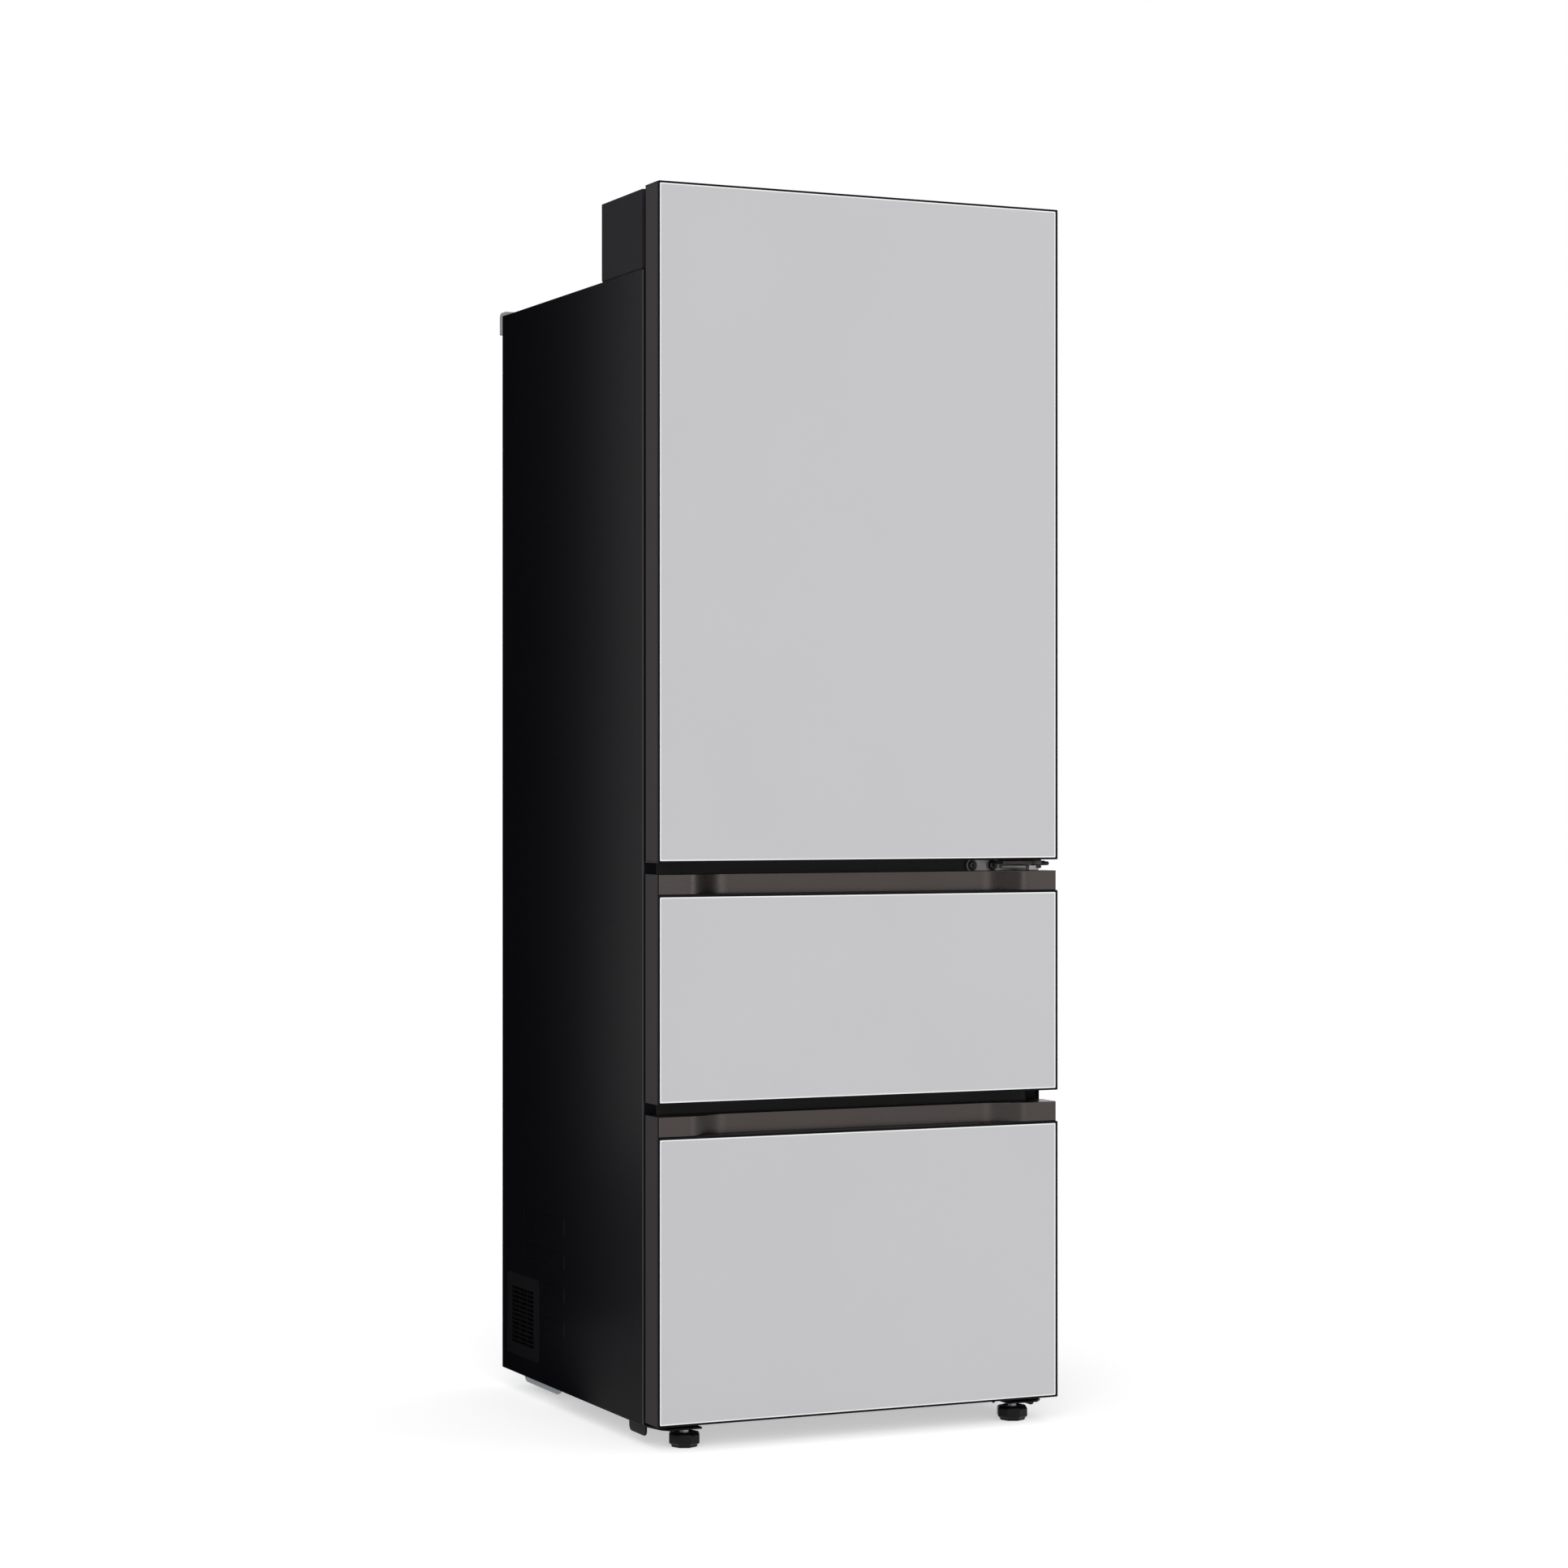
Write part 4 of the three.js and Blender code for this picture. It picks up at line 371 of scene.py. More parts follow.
def makeTrim(node):
    lo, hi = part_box(node)
    outline = [*trimFace(lo, hi), (hi.x, hi.y), (lo.x, hi.y)]

    def lies(edge):
        return abs(edge.verts[0].co.z - edge.verts[1].co.z) < mm
    bm = bmesh.new()
    drawnOut(bm, [(x, y, lo.z) for x, y in outline], (0, 0, hi.z - lo.z))
    roundEdges(bm, trimShape["rounding"], trimShape["roundingSteps"], chosen=lies)
    addFinished(node, bm, ["trim_bronze"], trimShape["sharp"])


for trimNode in ("middle_handle_trim", "lower_handle_trim"):
    makeTrim(trimNode)
print("handle trims made")

# pieces finished from their solids: edge width, steps and, where it isn't the slot's own, the finish
edgeWidths = {
    "top_box": (0.8 * mm, 2), "back_panel": (0.35 * mm, 1),
    # the machine base's finish is made lighter than its steel as painted light
    "machine_base": (0.4 * mm, 1, "baseSteelPaintedLight"), "machine_cover": (0.3 * mm, 1),
    # the mullion covers' black is made lighter as painted light against the gap's shade
    "upper_mullion_cover": (0.5 * mm, 2, "mullionBlackPaintedLight"),
    "lower_mullion_cover": (0.5 * mm, 2, "mullionBlackPaintedLight"),
    "evaporator_cover": (0.6 * mm, 2),
    "door_frame": (0.7 * mm, 2), "door_top_cap": (0.5 * mm, 2), "door_bottom_cap": (0.5 * mm, 2),
    "door_gasket": (0.6 * mm, 2),
    "middle_front": (0.6 * mm, 2), "lower_front": (0.6 * mm, 2),
    "middle_gasket": (0.6 * mm, 2), "lower_gasket": (0.6 * mm, 2),
    "middle_carriage": (0.3 * mm, 1), "lower_carriage": (0.3 * mm, 1),
    "middle_rail_left": (0.3 * mm, 1), "middle_rail_right": (0.3 * mm, 1),
    "lower_rail_left": (0.3 * mm, 1), "lower_rail_right": (0.3 * mm, 1),
    "middle_slide_left": (0.3 * mm, 1), "middle_slide_right": (0.3 * mm, 1),
    "lower_slide_left": (0.3 * mm, 1), "lower_slide_right": (0.3 * mm, 1),
    "rear_spacer_left": (0.6 * mm, 2), "rear_spacer_right": (0.6 * mm, 2),
    "leg_bracket_left": (0.5 * mm, 2), "leg_bracket_right": (0.5 * mm, 2),
    "roller_left": (0.6 * mm, 2), "roller_right": (0.6 * mm, 2),
    "top_hinge": (0.4 * mm, 1),
}
for softNode, settings in edgeWidths.items():
    softened(softNode, *settings)
for innerNode in ("insulation_foam", "evaporator", "compressor", "fan_shroud", "condenser_fan",
                  "control_board"):
    dressed(innerNode)
# the condenser's black is darkened further as painted shade behind the grilles
dressed("condenser", "coilBlackAndPaintedShade")
print("solids finished:", len(edgeWidths))

# the folded lip of the front edges, whose finish is painted lighter than the skin as a highlight, the heights
# of the pressed fields and the line along their front
skinShape = {
    "edge": 0.4 * mm, "steps": 2, "finishes": ["skin_black", "skinEdgePaintedHighlight", "pressPaintedHighlight"],
    "lip": 4 * mm, "lipWidth": 2 * mm, "lipEnd": 1 * mm, "root": 1 * mm, "rounding": 0.5 * mm,
    "lipTopRight": 845 * mm,
    # the line along the front of each pressed field is painted lighter than the skin as a highlight
    "pressFront": 47 * mm, "pressWidth": 3 * mm, "pressRise": 0.5 * mm, "pressRounding": 0.4 * mm,
    "presses": [(277 * mm, 301 * mm), (223 * mm, 245.5 * mm), (171 * mm, 193 * mm), (116 * mm, 139 * mm)],
}


def makeCabinet(node):  # at the hinge the lip ends below the door
    shape = skinShape
    lo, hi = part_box(node)
    bm = mergedCopy(node)
    roundEdges(bm, shape["edge"], shape["steps"])
    for start, top in ((lo.x, hi.z - shape["lipEnd"]), (hi.x - shape["lipWidth"], shape["lipTopRight"])):
        addBox(bm, (start, lo.y - shape["lip"], lo.z + shape["lipEnd"]),
               (start + shape["lipWidth"], lo.y + shape["root"], top), shape["rounding"], shape["steps"], 1)
    rise, front = shape["pressRise"], shape["pressFront"]
    for start in (lo.x - rise, hi.x - rise):
        for bottom, top in shape["presses"]:
            addBox(bm, (start, front - shape["pressWidth"], bottom), (start + 2 * rise, front, top),
                   shape["pressRounding"], shape["steps"], 2)
    addFinished(node, bm, shape["finishes"])


# liners, bins and shelves

# opening heights and the step over the machine room; a wall is rounded where it meets the next
linerShape = {
    "half": 280 * mm, "wall": 2 * mm, "corner": 17 * mm, "rearRound": 15 * mm, "lipRound": 3.5 * mm,
    "flangeCorner": 3 * mm, "flangeEdge": 0.5 * mm, "flangeBack": 0.1 * mm, "draft": 0.4 * mm, "steps": 6,
    "sharp": 40,
    "openings": {"upper_liner": (887 * mm, 1690 * mm), "middle_liner": (532 * mm, 828 * mm),
                 "lower_liner": (78 * mm, 472 * mm)},
    "step": {"front": 47 * mm, "top": 335 * mm, "foot": 13 * mm, "crest": 11 * mm},
    "ledge": {"width": 9 * mm, "sunk": 1 * mm, "height": 8 * mm, "gap": 0.3 * mm, "rounding": 1.2 * mm,
              "steps": 2},
}


def bend(start, end, steps=5):  # quarter turn between two pairs of values, that leaves along the second value
    turns = [math.pi / 2 * step / steps for step in range(steps + 1)]
    first, second = end[0] - start[0], end[1] - start[1]
    return [(start[0] + first * (1 - math.cos(turn)), start[1] + second * math.sin(turn)) for turn in turns]


def swapped(pairs):
    return [(b, a) for a, b in pairs]


smallestCorner = 0.4 * mm


def row(us, vs, inset, level, corner, finish=0):
    return {"u": (us[0] + inset, us[1] - inset), "v": (vs[0] + inset, vs[1] - inset), "w": level,
            "corner": max(smallestCorner, corner - inset), "finish": finish}


def addBox(bm, lo, hi, rounding, steps, material=0):
    made = boxVerts(bm, lo, hi)
    for face in {face for vert in made for face in vert.link_faces}:
        face.material_index = material
    roundAll(bm, {edge for vert in made for edge in vert.link_edges}, rounding, steps, material)


def cutBox(bm, lo, hi):  # the piece without the space of a box
    box = bmesh.new()
    boxVerts(box, lo, hi)
    pieces = []
    for name, shape in (("notched", bm), ("notch", box)):
        mesh = bpy.data.meshes.new(name)
        shape.to_mesh(mesh)
        shape.free()
        pieces.append(linked(name, mesh))
    body, notch = pieces
    modifier = body.modifiers.new("notch", "BOOLEAN")
    modifier.operation = "DIFFERENCE"
    modifier.solver = "EXACT"
    modifier.object = notch
    evaluated = body.evaluated_get(bpy.context.evaluated_depsgraph_get())
    result = bmesh.new()
    result.from_mesh(evaluated.to_mesh())
    evaluated.to_mesh_clear()
    for piece in pieces:
        bpy.data.objects.remove(piece)
    return result


def stepRows(bottom, shift):  # depth and floor height from the front to the rear, over the machine room
    step, draft = linerShape["step"], linerShape["draft"]
    front, foot, crest = step["front"] + shift, step["foot"], step["crest"]
    rising = swapped(bend((bottom, front - foot), (bottom + foot, front)))
    return rising + bend((front + draft, step["top"] - crest), (front + draft + crest, step["top"]))


def makeLiner(node):
    lo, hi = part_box(node)
    shape = linerShape
    wall, turn, lip, edge = shape["wall"], shape["rearRound"], shape["lipRound"], shape["flangeEdge"]
    bottom, top = shape["openings"][node]
    across = (-shape["half"], shape["half"])
    stepped = node == "lower_liner"
    rearBottom = shape["step"]["top"] if stepped else bottom
    flange = ((lo.x, hi.x), (lo.z, hi.z))

    def wallRow(inset, level, floor):
        return row(across, (floor, top), inset, level, shape["corner"])
    rows = [wallRow(inset, level, rearBottom)
            for inset, level in swapped(bend((hi.y, turn - wall), (hi.y - turn, -wall)))]
    if stepped:
        rows += [wallRow(-wall, level, floor) for level, floor in reversed(stepRows(bottom, wall))]
    rows += [wallRow(-wall, lo.y + wall, bottom)]
    flangeRows = ((0, lo.y + wall - shape["flangeBack"]), (0, lo.y + edge),
                  (edge * middleRow, lo.y + edge * middleRow), (edge, lo.y))
    rows += [row(*flange, inset, level, shape["flangeCorner"]) for inset, level in flangeRows]
    rows += [wallRow(inset, level, bottom) for inset, level in swapped(bend((lo.y, -lip), (lo.y + lip, 0)))]
    if stepped:
        rows += [wallRow(0, level, floor) for level, floor in stepRows(bottom, 0)]
    rows += [wallRow(inset, level, rearBottom)
             for inset, level in bend((0, hi.y - wall - turn), (turn, hi.y - wall))]
    bm = lofted(rows, lambda u, v, w: (u, w, v), shape["steps"])
    if node == "upper_liner":
        for shelf in ("upper_shelf", "lower_shelf"):
            ledge = shape["ledge"]
            shelfLo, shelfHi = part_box(shelf)
            level = shelfHi.z - shelfShape["rise"]
            for start, end in ((across[0] - ledge["sunk"], across[0] + ledge["width"]),
                               (across[1] - ledge["width"], across[1] + ledge["sunk"])):
                addBox(bm, (start, shelfLo.y, level - ledge["height"]),
                       (end, shelfHi.y, level - ledge["gap"]), ledge["rounding"], ledge["steps"])
    addFinished(node, bm, sharpAngle=shape["sharp"])


# glass plate with a moulded strip along each edge; rise = from the plate's underside to the rear strip's top
shelfShape = {
    "glass": 4.6 * mm, "glassRounding": 0.8 * mm, "overlap": 1.5 * mm, "rise": 14 * mm, "strip": 2.2 * mm,
    "stripSteps": 3, "stripWidth": 12 * mm, "frontIn": 10 * mm, "frontAbove": 6 * mm,
    "rearIn": 1 * mm, "rearBelow": 1 * mm,
    "side": {"width": 9 * mm, "front": 6 * mm, "rear": 8 * mm, "below": 0.2 * mm, "above": 6.2 * mm,
             "rounding": 1.2 * mm},
}

makeCabinet("cabinet_shell")
for linerNode in ("upper_liner", "middle_liner", "lower_liner"):
    makeLiner(linerNode)

# the walls lean in by the taper; its shares count where the floor's rounding starts and on the step's floor
binShape = {
    "half": 252 * mm, "wall": 2.5 * mm, "taper": 5 * mm, "taperAtTurn": 0.9, "taperAtStep": 0.3,
    "corner": 24 * mm, "floorRound": 13 * mm, "frontIn": 10 * mm, "rearIn": 0.8 * mm,
    "rimCorner": 15 * mm, "rimEdge": 0.9 * mm, "rimBack": 0.1 * mm, "steps": 7, "sharp": 40,
    "step": {"rear": 35 * mm, "floor": 347 * mm, "foot": 7 * mm, "heel": 9 * mm, "draft": 0.4 * mm},
}


def makeBin(node):
    lo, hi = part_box(node)
    shape = binShape
    wall, turn, edge, taper = shape["wall"], shape["floorRound"], shape["rimEdge"], shape["taper"]
    atTurn, atStep = taper * shape["taperAtTurn"], taper * shape["taperAtStep"]
    across = (-shape["half"], shape["half"])
    front, rear = lo.y + shape["frontIn"], hi.y - shape["rearIn"]
    rimBottom = hi.z - wall
    stepped = node == "lower_bin"
    floorRear = shape["step"]["rear"] if stepped else rear

    def bodyRow(inset, level, back):
        return row(across, (front, back), inset, level, shape["corner"])

    def stepPath(lift):  # rear edge and height, from the low part's rear wall over the step to the top
        step = shape["step"]
        floor, foot, heel = step["floor"] + lift, step["foot"], step["heel"]
        under = bend((step["rear"], floor - foot), (step["rear"] + foot, floor))
        over = bend((floor + step["draft"], rear - heel), (floor + step["draft"] + heel, rear))
        return under + swapped(over)
    rows = [bodyRow(inset, level, floorRear)
            for inset, level in swapped(bend((lo.z, taper + turn), (lo.z + turn, atTurn)))]
    if stepped:
        rows += [bodyRow(atStep, level, back) for back, level in stepPath(0)]
    rows += [bodyRow(0, rimBottom - shape["rimBack"], rear)]
    near = edge * middleRow
    rimRows = ((edge, rimBottom), (near, rimBottom + near), (0, rimBottom + edge),
               (0, hi.z - edge), (near, hi.z - near), (edge, hi.z))
    rows += [row((lo.x, hi.x), (lo.y, hi.y), inset, level, shape["rimCorner"]) for inset, level in rimRows]
    innerRows = ((wall - edge, hi.z), (wall - near, hi.z - near), (wall, hi.z - edge))
    rows += [bodyRow(inset, level, rear) for inset, level in innerRows]
    if stepped:
        rows += [bodyRow(wall + atStep, level, back) for back, level in reversed(stepPath(wall))]
    rows += [bodyRow(wall + inset, level + wall, floorRear)
             for inset, level in bend((atTurn, lo.z + turn), (taper + turn, lo.z))]
    addFinished(node, lofted(rows, lambda u, v, w: (u, v, w), shape["steps"]), sharpAngle=shape["sharp"])


makeBin("middle_bin")
makeBin("lower_bin")

# plate with a raised ring around the bins; the notch at the hinge lets the arm turn
doorLinerShape = {
    "plate": 2 * mm, "plateCorner": 2 * mm, "plateEdge": 0.5 * mm, "ringHalf": (240 * mm, 262 * mm),
    "ringCorner": 22 * mm, "ringEnds": (901 * mm, 1676 * mm), "ringWidth": 22 * mm, "foot": 5 * mm,
    "footDraft": 0.2 * mm, "crest": 6 * mm, "draft": 2.5 * mm, "floorRound": 9 * mm, "steps": 6, "sharp": 40,
    "ledge": {"width": 8 * mm, "sunk": 1.5 * mm, "root": 0.5 * mm, "height": 8 * mm, "gap": 0.3 * mm,
              "behind": 6 * mm, "rounding": 1.2 * mm, "steps": 2},
    "notch": {"left": 301 * mm, "heights": (1853.8 * mm, 1862.2 * mm)},
}


def makeDoorLiner(node):
    lo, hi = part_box(node)
    shape = doorLinerShape
    plateTop = lo.y + shape["plate"]
    inner, outer = shape["ringHalf"]
    across = (-outer, outer)
    width, turn = shape["ringWidth"], shape["floorRound"]
    crest, foot, draft = shape["crest"], shape["foot"], shape["draft"]
    edge = shape["plateEdge"]
    near = edge * middleRow
    plateRows = ((edge, lo.y, 1), (0, lo.y + edge, 1), (0, plateTop - edge, 1), (near, plateTop - near, 1),
                 (edge, plateTop, 0))
    rows = [row((lo.x, hi.x), (lo.z, hi.z), inset, level, shape["plateCorner"], finish)
            for inset, level, finish in plateRows]
    ring = swapped(bend((plateTop, -foot), (plateTop + foot, shape["footDraft"])))
    ring += bend((draft, hi.y - crest), (draft + crest, hi.y))
    ring += swapped(bend((hi.y, width - draft - crest), (hi.y - crest, width - draft)))
    ring += bend((width, plateTop + turn), (width + turn, plateTop))
    rows += [row(across, shape["ringEnds"], inset, level, shape["ringCorner"]) for inset, level in ring]
    bm = lofted(rows, lambda u, v, w: (u, w, v), shape["steps"])
    notch = shape["notch"]
    bm = cutBox(bm, (notch["left"], lo.y - mm, notch["heights"][0]),
                (hi.x + mm, plateTop + mm, notch["heights"][1]))
    ledge = shape["ledge"]
    for binNode in ("door_bin_lower", "door_bin_upper"):
        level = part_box(binNode)[0].z
        for start, end in ((-inner - ledge["sunk"], ledge["width"] - inner),
                           (inner - ledge["width"], inner + ledge["sunk"])):
            addBox(bm, (start, plateTop - ledge["root"], level - ledge["height"]),
                   (end, hi.y - ledge["behind"], level - ledge["gap"]), ledge["rounding"], ledge["steps"])
    addFinished(node, bm, [slotOf[node], "panelSide"], shape["sharp"])


makeDoorLiner("door_liner")

# a clear tray that is low at the back, with rounded front corners; rimInner = shares of wall and rim
trayShape = {
    "wall": 2.5 * mm, "backHeight": 40 * mm, "riseFrom": 6 * mm, "rise": 34 * mm, "corner": 24 * mm,
    "rearCorner": 4 * mm, "smallestCorner": 0.3 * mm, "floorRound": 5 * mm, "rim": 1.2 * mm,
    "rimInner": (0.9, 0.4, 1.5), "sideCuts": 10, "steps": 8, "sharp": 50,
}


def makeTray(node):
    lo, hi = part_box(node)
    shape = trayShape
    height = hi.z - lo.z

    def topAt(v):
        share = min(1, max(0, (v - lo.y - shape["riseFrom"]) / shape["rise"]))
        share = share * share * (3 - 2 * share)
        return lo.z + shape["backHeight"] + (height - shape["backHeight"]) * share

    def station(inset, level, drop=None):  # level counts from the floor; drop counts from the top edge
        outer, rear = [max(shape["smallestCorner"], shape[name] - inset) for name in ("corner", "rearCorner")]
        return {"u": (lo.x + inset, hi.x - inset), "v": (lo.y + inset, hi.y - inset),
                "w": (level, drop), "corner": (rear, outer, outer, rear)}

    def place(u, v, w):
        level, drop = w
        return (u, v, lo.z + level if drop is None else topAt(v) - drop)
    wall, turn, rim = shape["wall"], shape["floorRound"], shape["rim"]
    nearTurn, nearRim = turn * middleRow, rim * middleRow
    inward, above, below = shape["rimInner"]
    stations = [station(turn, 0), station(nearTurn, nearTurn), station(0, turn), station(0, None, rim),
                station(nearRim, None, nearRim), station(rim, None, 0),
                station(wall * inward, None, rim * above), station(wall, None, rim * below),
                station(wall, wall + turn),
                station(wall + nearTurn, wall + nearTurn), station(wall + turn, wall)]
    tray = lofted(stations, place, shape["steps"], shape["sideCuts"])
    addFinished(node, tray, sharpAngle=shape["sharp"])


makeTray("door_bin_lower")
makeTray("door_bin_upper")


def makeShelf(node):
    lo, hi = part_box(node)
    shape = shelfShape
    plate = hi.z - shape["rise"]
    side, width = shape["side"], shape["stripWidth"]
    front, rear = lo.y + side["front"], hi.y - side["rear"]
    low, high = plate - side["below"], plate + side["above"]
    bars = [  # name, lower and upper corner, rounding, its steps and the finish
        ("glass", (lo.x, lo.y + shape["overlap"], plate),
         (hi.x, hi.y - shape["overlap"], plate + shape["glass"]), shape["glassRounding"], 2, "shelf_glass"),
        ("front_strip", (lo.x + shape["frontIn"], lo.y, lo.z),
         (hi.x - shape["frontIn"], lo.y + width, plate + shape["frontAbove"]),
         shape["strip"], shape["stripSteps"], "liner_white"),
        ("rear_strip", (lo.x + shape["rearIn"], hi.y - width, plate - shape["rearBelow"]),
         (hi.x - shape["rearIn"], hi.y, hi.z), shape["strip"], shape["stripSteps"], "liner_white"),
        ("left_strip", (lo.x, front, low), (lo.x + side["width"], rear, high),
         side["rounding"], 2, "liner_white"),
        ("right_strip", (hi.x - side["width"], front, low), (hi.x, rear, high),
         side["rounding"], 2, "liner_white"),
    ]
    for name, low, high, rounding, steps, finishName in bars:
        bm = bmesh.new()
        addBox(bm, low, high, rounding, steps)
        slotName, replaced = (slotOf[node], [node]) if name == "glass" else (finishName, [])
        addPiece(f"finished_{node}_{name}", bm, [finishName], bodyOf[node], slotName, replaced)


makeShelf("upper_shelf")
makeShelf("lower_shelf")
print("liners, bins and shelves made")

# middle hinge

hingeShape = {
    "pin": (311 * mm, -308 * mm), "middle": 9 * mm, "sharp": 30,
    "plate": {"end": 262 * mm, "thick": 3 * mm, "half": 8.9 * mm, "step": 4 * mm, "above": 1 * mm,
              "right": 2 * mm, "roundEnd": (270, 90, 14)},
    "arm": {"top": 855.4 * mm, "thick": 4.2 * mm, "root": 0.5 * mm, "left": 48 * mm,
            "foot": (46 * mm, 6 * mm), "waist": (20 * mm, 5 * mm), "nose": (6.6 * mm, 170, 300, 10),
            "right": 5 * mm, "back": 2 * mm},
    "lug": {"across": (-16 * mm, 1 * mm), "along": (-7 * mm, 4 * mm), "foot": 2 * mm, "above": 0.4 * mm},
    "washer": {"levels": (857.4 * mm, 862.6 * mm), "left": -56 * mm, "nose": (9 * mm, 200, 330, 10),
               "right": 4 * mm, "back": 3 * mm},
    "roundings": {"plate": 0.5 * mm, "lug": 0.7 * mm, "washer": 0.6 * mm},
    "pinBody": {"radius": 4.8 * mm, "tip": 4.2 * mm, "foot": 4 * mm, "chamfer": 0.6 * mm, "sides": 32},
    "bush": {"radius": 8 * mm, "edge": 7.6 * mm, "from": 4.6 * mm, "foot": 5 * mm,
             "levels": (864.4 * mm, 864.7 * mm), "sides": 40},
    "stopper": {"profile": [(0, 0), (2.5, 0.3), (3.1, 1.1), (3.1, 15), (0, 15.4)], "level": 858.6 * mm,
                "back": 3 * mm, "sides": 24},
    "screwPlaces": (215 * mm, 250 * mm), "screwSides": 36, "ringSides": 40,
    "screw": [(0, -1.4), (2.3, -1.4), (2.6, -3.6), (4.9, -3.8), (5.5, -3.3), (5.7, -2.2), (6.4, -1.9),
              (7.6, -2.1), (8.1, -1.5), (8.1, 0)],
    "ring": [(8.2, 0), (8.2, -1.7), (8.5, -2.0), (9.1, -2.0), (9.5, -1.6), (9.5, 0), (8.2, 0)],
}


def inMetres(profile):
    return [(radius * mm, height * mm) for radius, height in profile]


# rings of radius and height along an axis, closed at both ends
def turned(bm, profile, place, axis, sides, phase=0.5):
    turn = Vector((0, 0, 1)).rotation_difference(Vector(axis)).to_matrix()
    rings = []
    for radius, height in profile:
        count = sides if radius else 1
        angles = [2 * math.pi * (side + phase) / sides for side in range(count)]
        points = [Vector((radius * math.cos(angle), radius * math.sin(angle), height)) for angle in angles]
        rings.append([bm.verts.new(Vector(place) + turn @ point) for point in points])
    made = []
    for near, far in zip(rings, rings[1:]):
        for side in range(sides):
            after = side + 1
            loop = [near[side % len(near)], near[after % len(near)],
                    far[after % len(far)], far[side % len(far)]]
            loop = [vert for i, vert in enumerate(loop) if vert not in loop[:i]]
            if len(loop) > 2:
                made.append(bm.faces.new(loop))
    for ring in (rings[0], rings[-1]):
        if len(ring) > 2:
            made.append(bm.faces.new(ring))
    bmesh.ops.recalc_face_normals(bm, faces=made)


def prism(bm, outline, low, high, place, rounding):  # an outline drawn out from low to high
    shift = Vector(place(0, 0, high)) - Vector(place(0, 0, low))
    faces = drawnOut(bm, [place(u, v, low) for u, v in outline], shift)
    sharp = math.radians(hingeShape["sharp"])
    roundAll(bm, {edge for face in faces for edge in face.edges if edge.calc_face_angle(0) > sharp},
             rounding, 2, 0)


def arcPoints(centre, radius, start, end, steps):
    turns = [math.radians(start + (end - start) * step / steps) for step in range(steps + 1)]
    return [(centre[0] + radius * math.cos(turn), centre[1] + radius * math.sin(turn)) for turn in turns]


def makeMiddleHinge(node):
    lo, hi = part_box(node)
    body, slotName = bodyOf[node], slotOf[node]
    shape, roundings = hingeShape, hingeShape["roundings"]
    pinX, pinY = shape["pin"]
    plate, arm, lug, washer = shape["plate"], shape["arm"], shape["lug"], shape["washer"]
    front = hi.y - plate["thick"]
    middle, half = lo.z + shape["middle"], plate["half"]

    def upright(u, v, w):
        return (u, w, v)

    def flat(u, v, w):
        return (u, v, w)
    bm = bmesh.new()
    end, right, top = plate["end"], hi.x - plate["right"], middle + plate["above"]
    outline = [*arcPoints((shape["screwPlaces"][0], middle), half, *plate["roundEnd"]),
               (end, middle + half), (end + plate["step"], top), (right, top), (right, middle - half)]
    prism(bm, outline, front, hi.y, upright, roundings["plate"])
    root, right = front + arm["root"], pinX + arm["right"]
    outline = [(pinX - arm["left"], root), (pinX - arm["foot"][0], front - arm["foot"][1]),
               (pinX - arm["waist"][0], pinY + arm["waist"][1]), *arcPoints((pinX, pinY), *arm["nose"]),
               (right, pinY - arm["back"]), (right, root)]
    prism(bm, outline, arm["top"] - arm["thick"], arm["top"], flat, roundings["plate"])
    (left, right), (near, far) = lug["across"], lug["along"]
    corners = [(pinX + x, pinY + y) for x, y in ((left, near), (right, near), (right, far), (left, far))]
    prism(bm, corners, lo.z + lug["foot"], arm["top"] + lug["above"], flat, roundings["lug"])
    for x in shape["screwPlaces"]:
        turned(bm, inMetres(shape["ring"]), (x, front, middle), (0, 1, 0), shape["ringSides"])
    addFinished(node, bm, ["hinge_grey"], shape["sharp"])

    bm = bmesh.new()
    left, right = pinX + washer["left"], hi.x - washer["right"]
    outline = [(left, front), (left, pinY + washer["back"]), *arcPoints((pinX, pinY), *washer["nose"]),
               (right, pinY), (right, front)]
    prism(bm, outline, *washer["levels"], flat, roundings["washer"])
    addPiece("finished_hinge_washer", bm, ["hinge_brown"], body, slotName, (), shape["sharp"])

    bm = bmesh.new()
    pin = shape["pinBody"]
    turned(bm, [(pin["radius"], lo.z + pin["foot"]), (pin["radius"], hi.z - pin["chamfer"]),
                (pin["tip"], hi.z)], (pinX, pinY, 0), (0, 0, 1), pin["sides"])
    addPiece("finished_hinge_pin", bm, [slotName], body, slotName, (), shape["sharp"])

    bm = bmesh.new()
    bush, stopper = shape["bush"], shape["stopper"]
    low, high = bush["levels"]
    turned(bm, [(bush["edge"], lo.z + bush["from"]), (bush["radius"], lo.z + bush["foot"]),
                (bush["radius"], low), (bush["edge"], high)], (pinX, pinY, 0), (0, 0, 1), bush["sides"])
    turned(bm, inMetres(stopper["profile"]), (hi.x, pinY - stopper["back"], stopper["level"]), (-1, 0, 0),
           stopper["sides"])
    for x in shape["screwPlaces"]:
        turned(bm, inMetres(shape["screw"]), (x, front, middle), (0, 1, 0), shape["screwSides"])
    addPiece("finished_hinge_screws", bm, ["screw_black"], body, slotName, (), shape["sharp"])


makeMiddleHinge("middle_hinge")
print("hinge made")

# what repeats is grown by node trees

def newTree(name, sizes):
    tree = bpy.data.node_groups.new(name, "GeometryNodeTree")
    for sizeName, kind in sizes.items():
        tree.interface.new_socket(sizeName, in_out="INPUT", socket_type=kind)
    tree.interface.new_socket("Geometry", in_out="OUTPUT", socket_type="NodeSocketGeometry")
    return tree, tree.nodes.new("NodeGroupInput").outputs


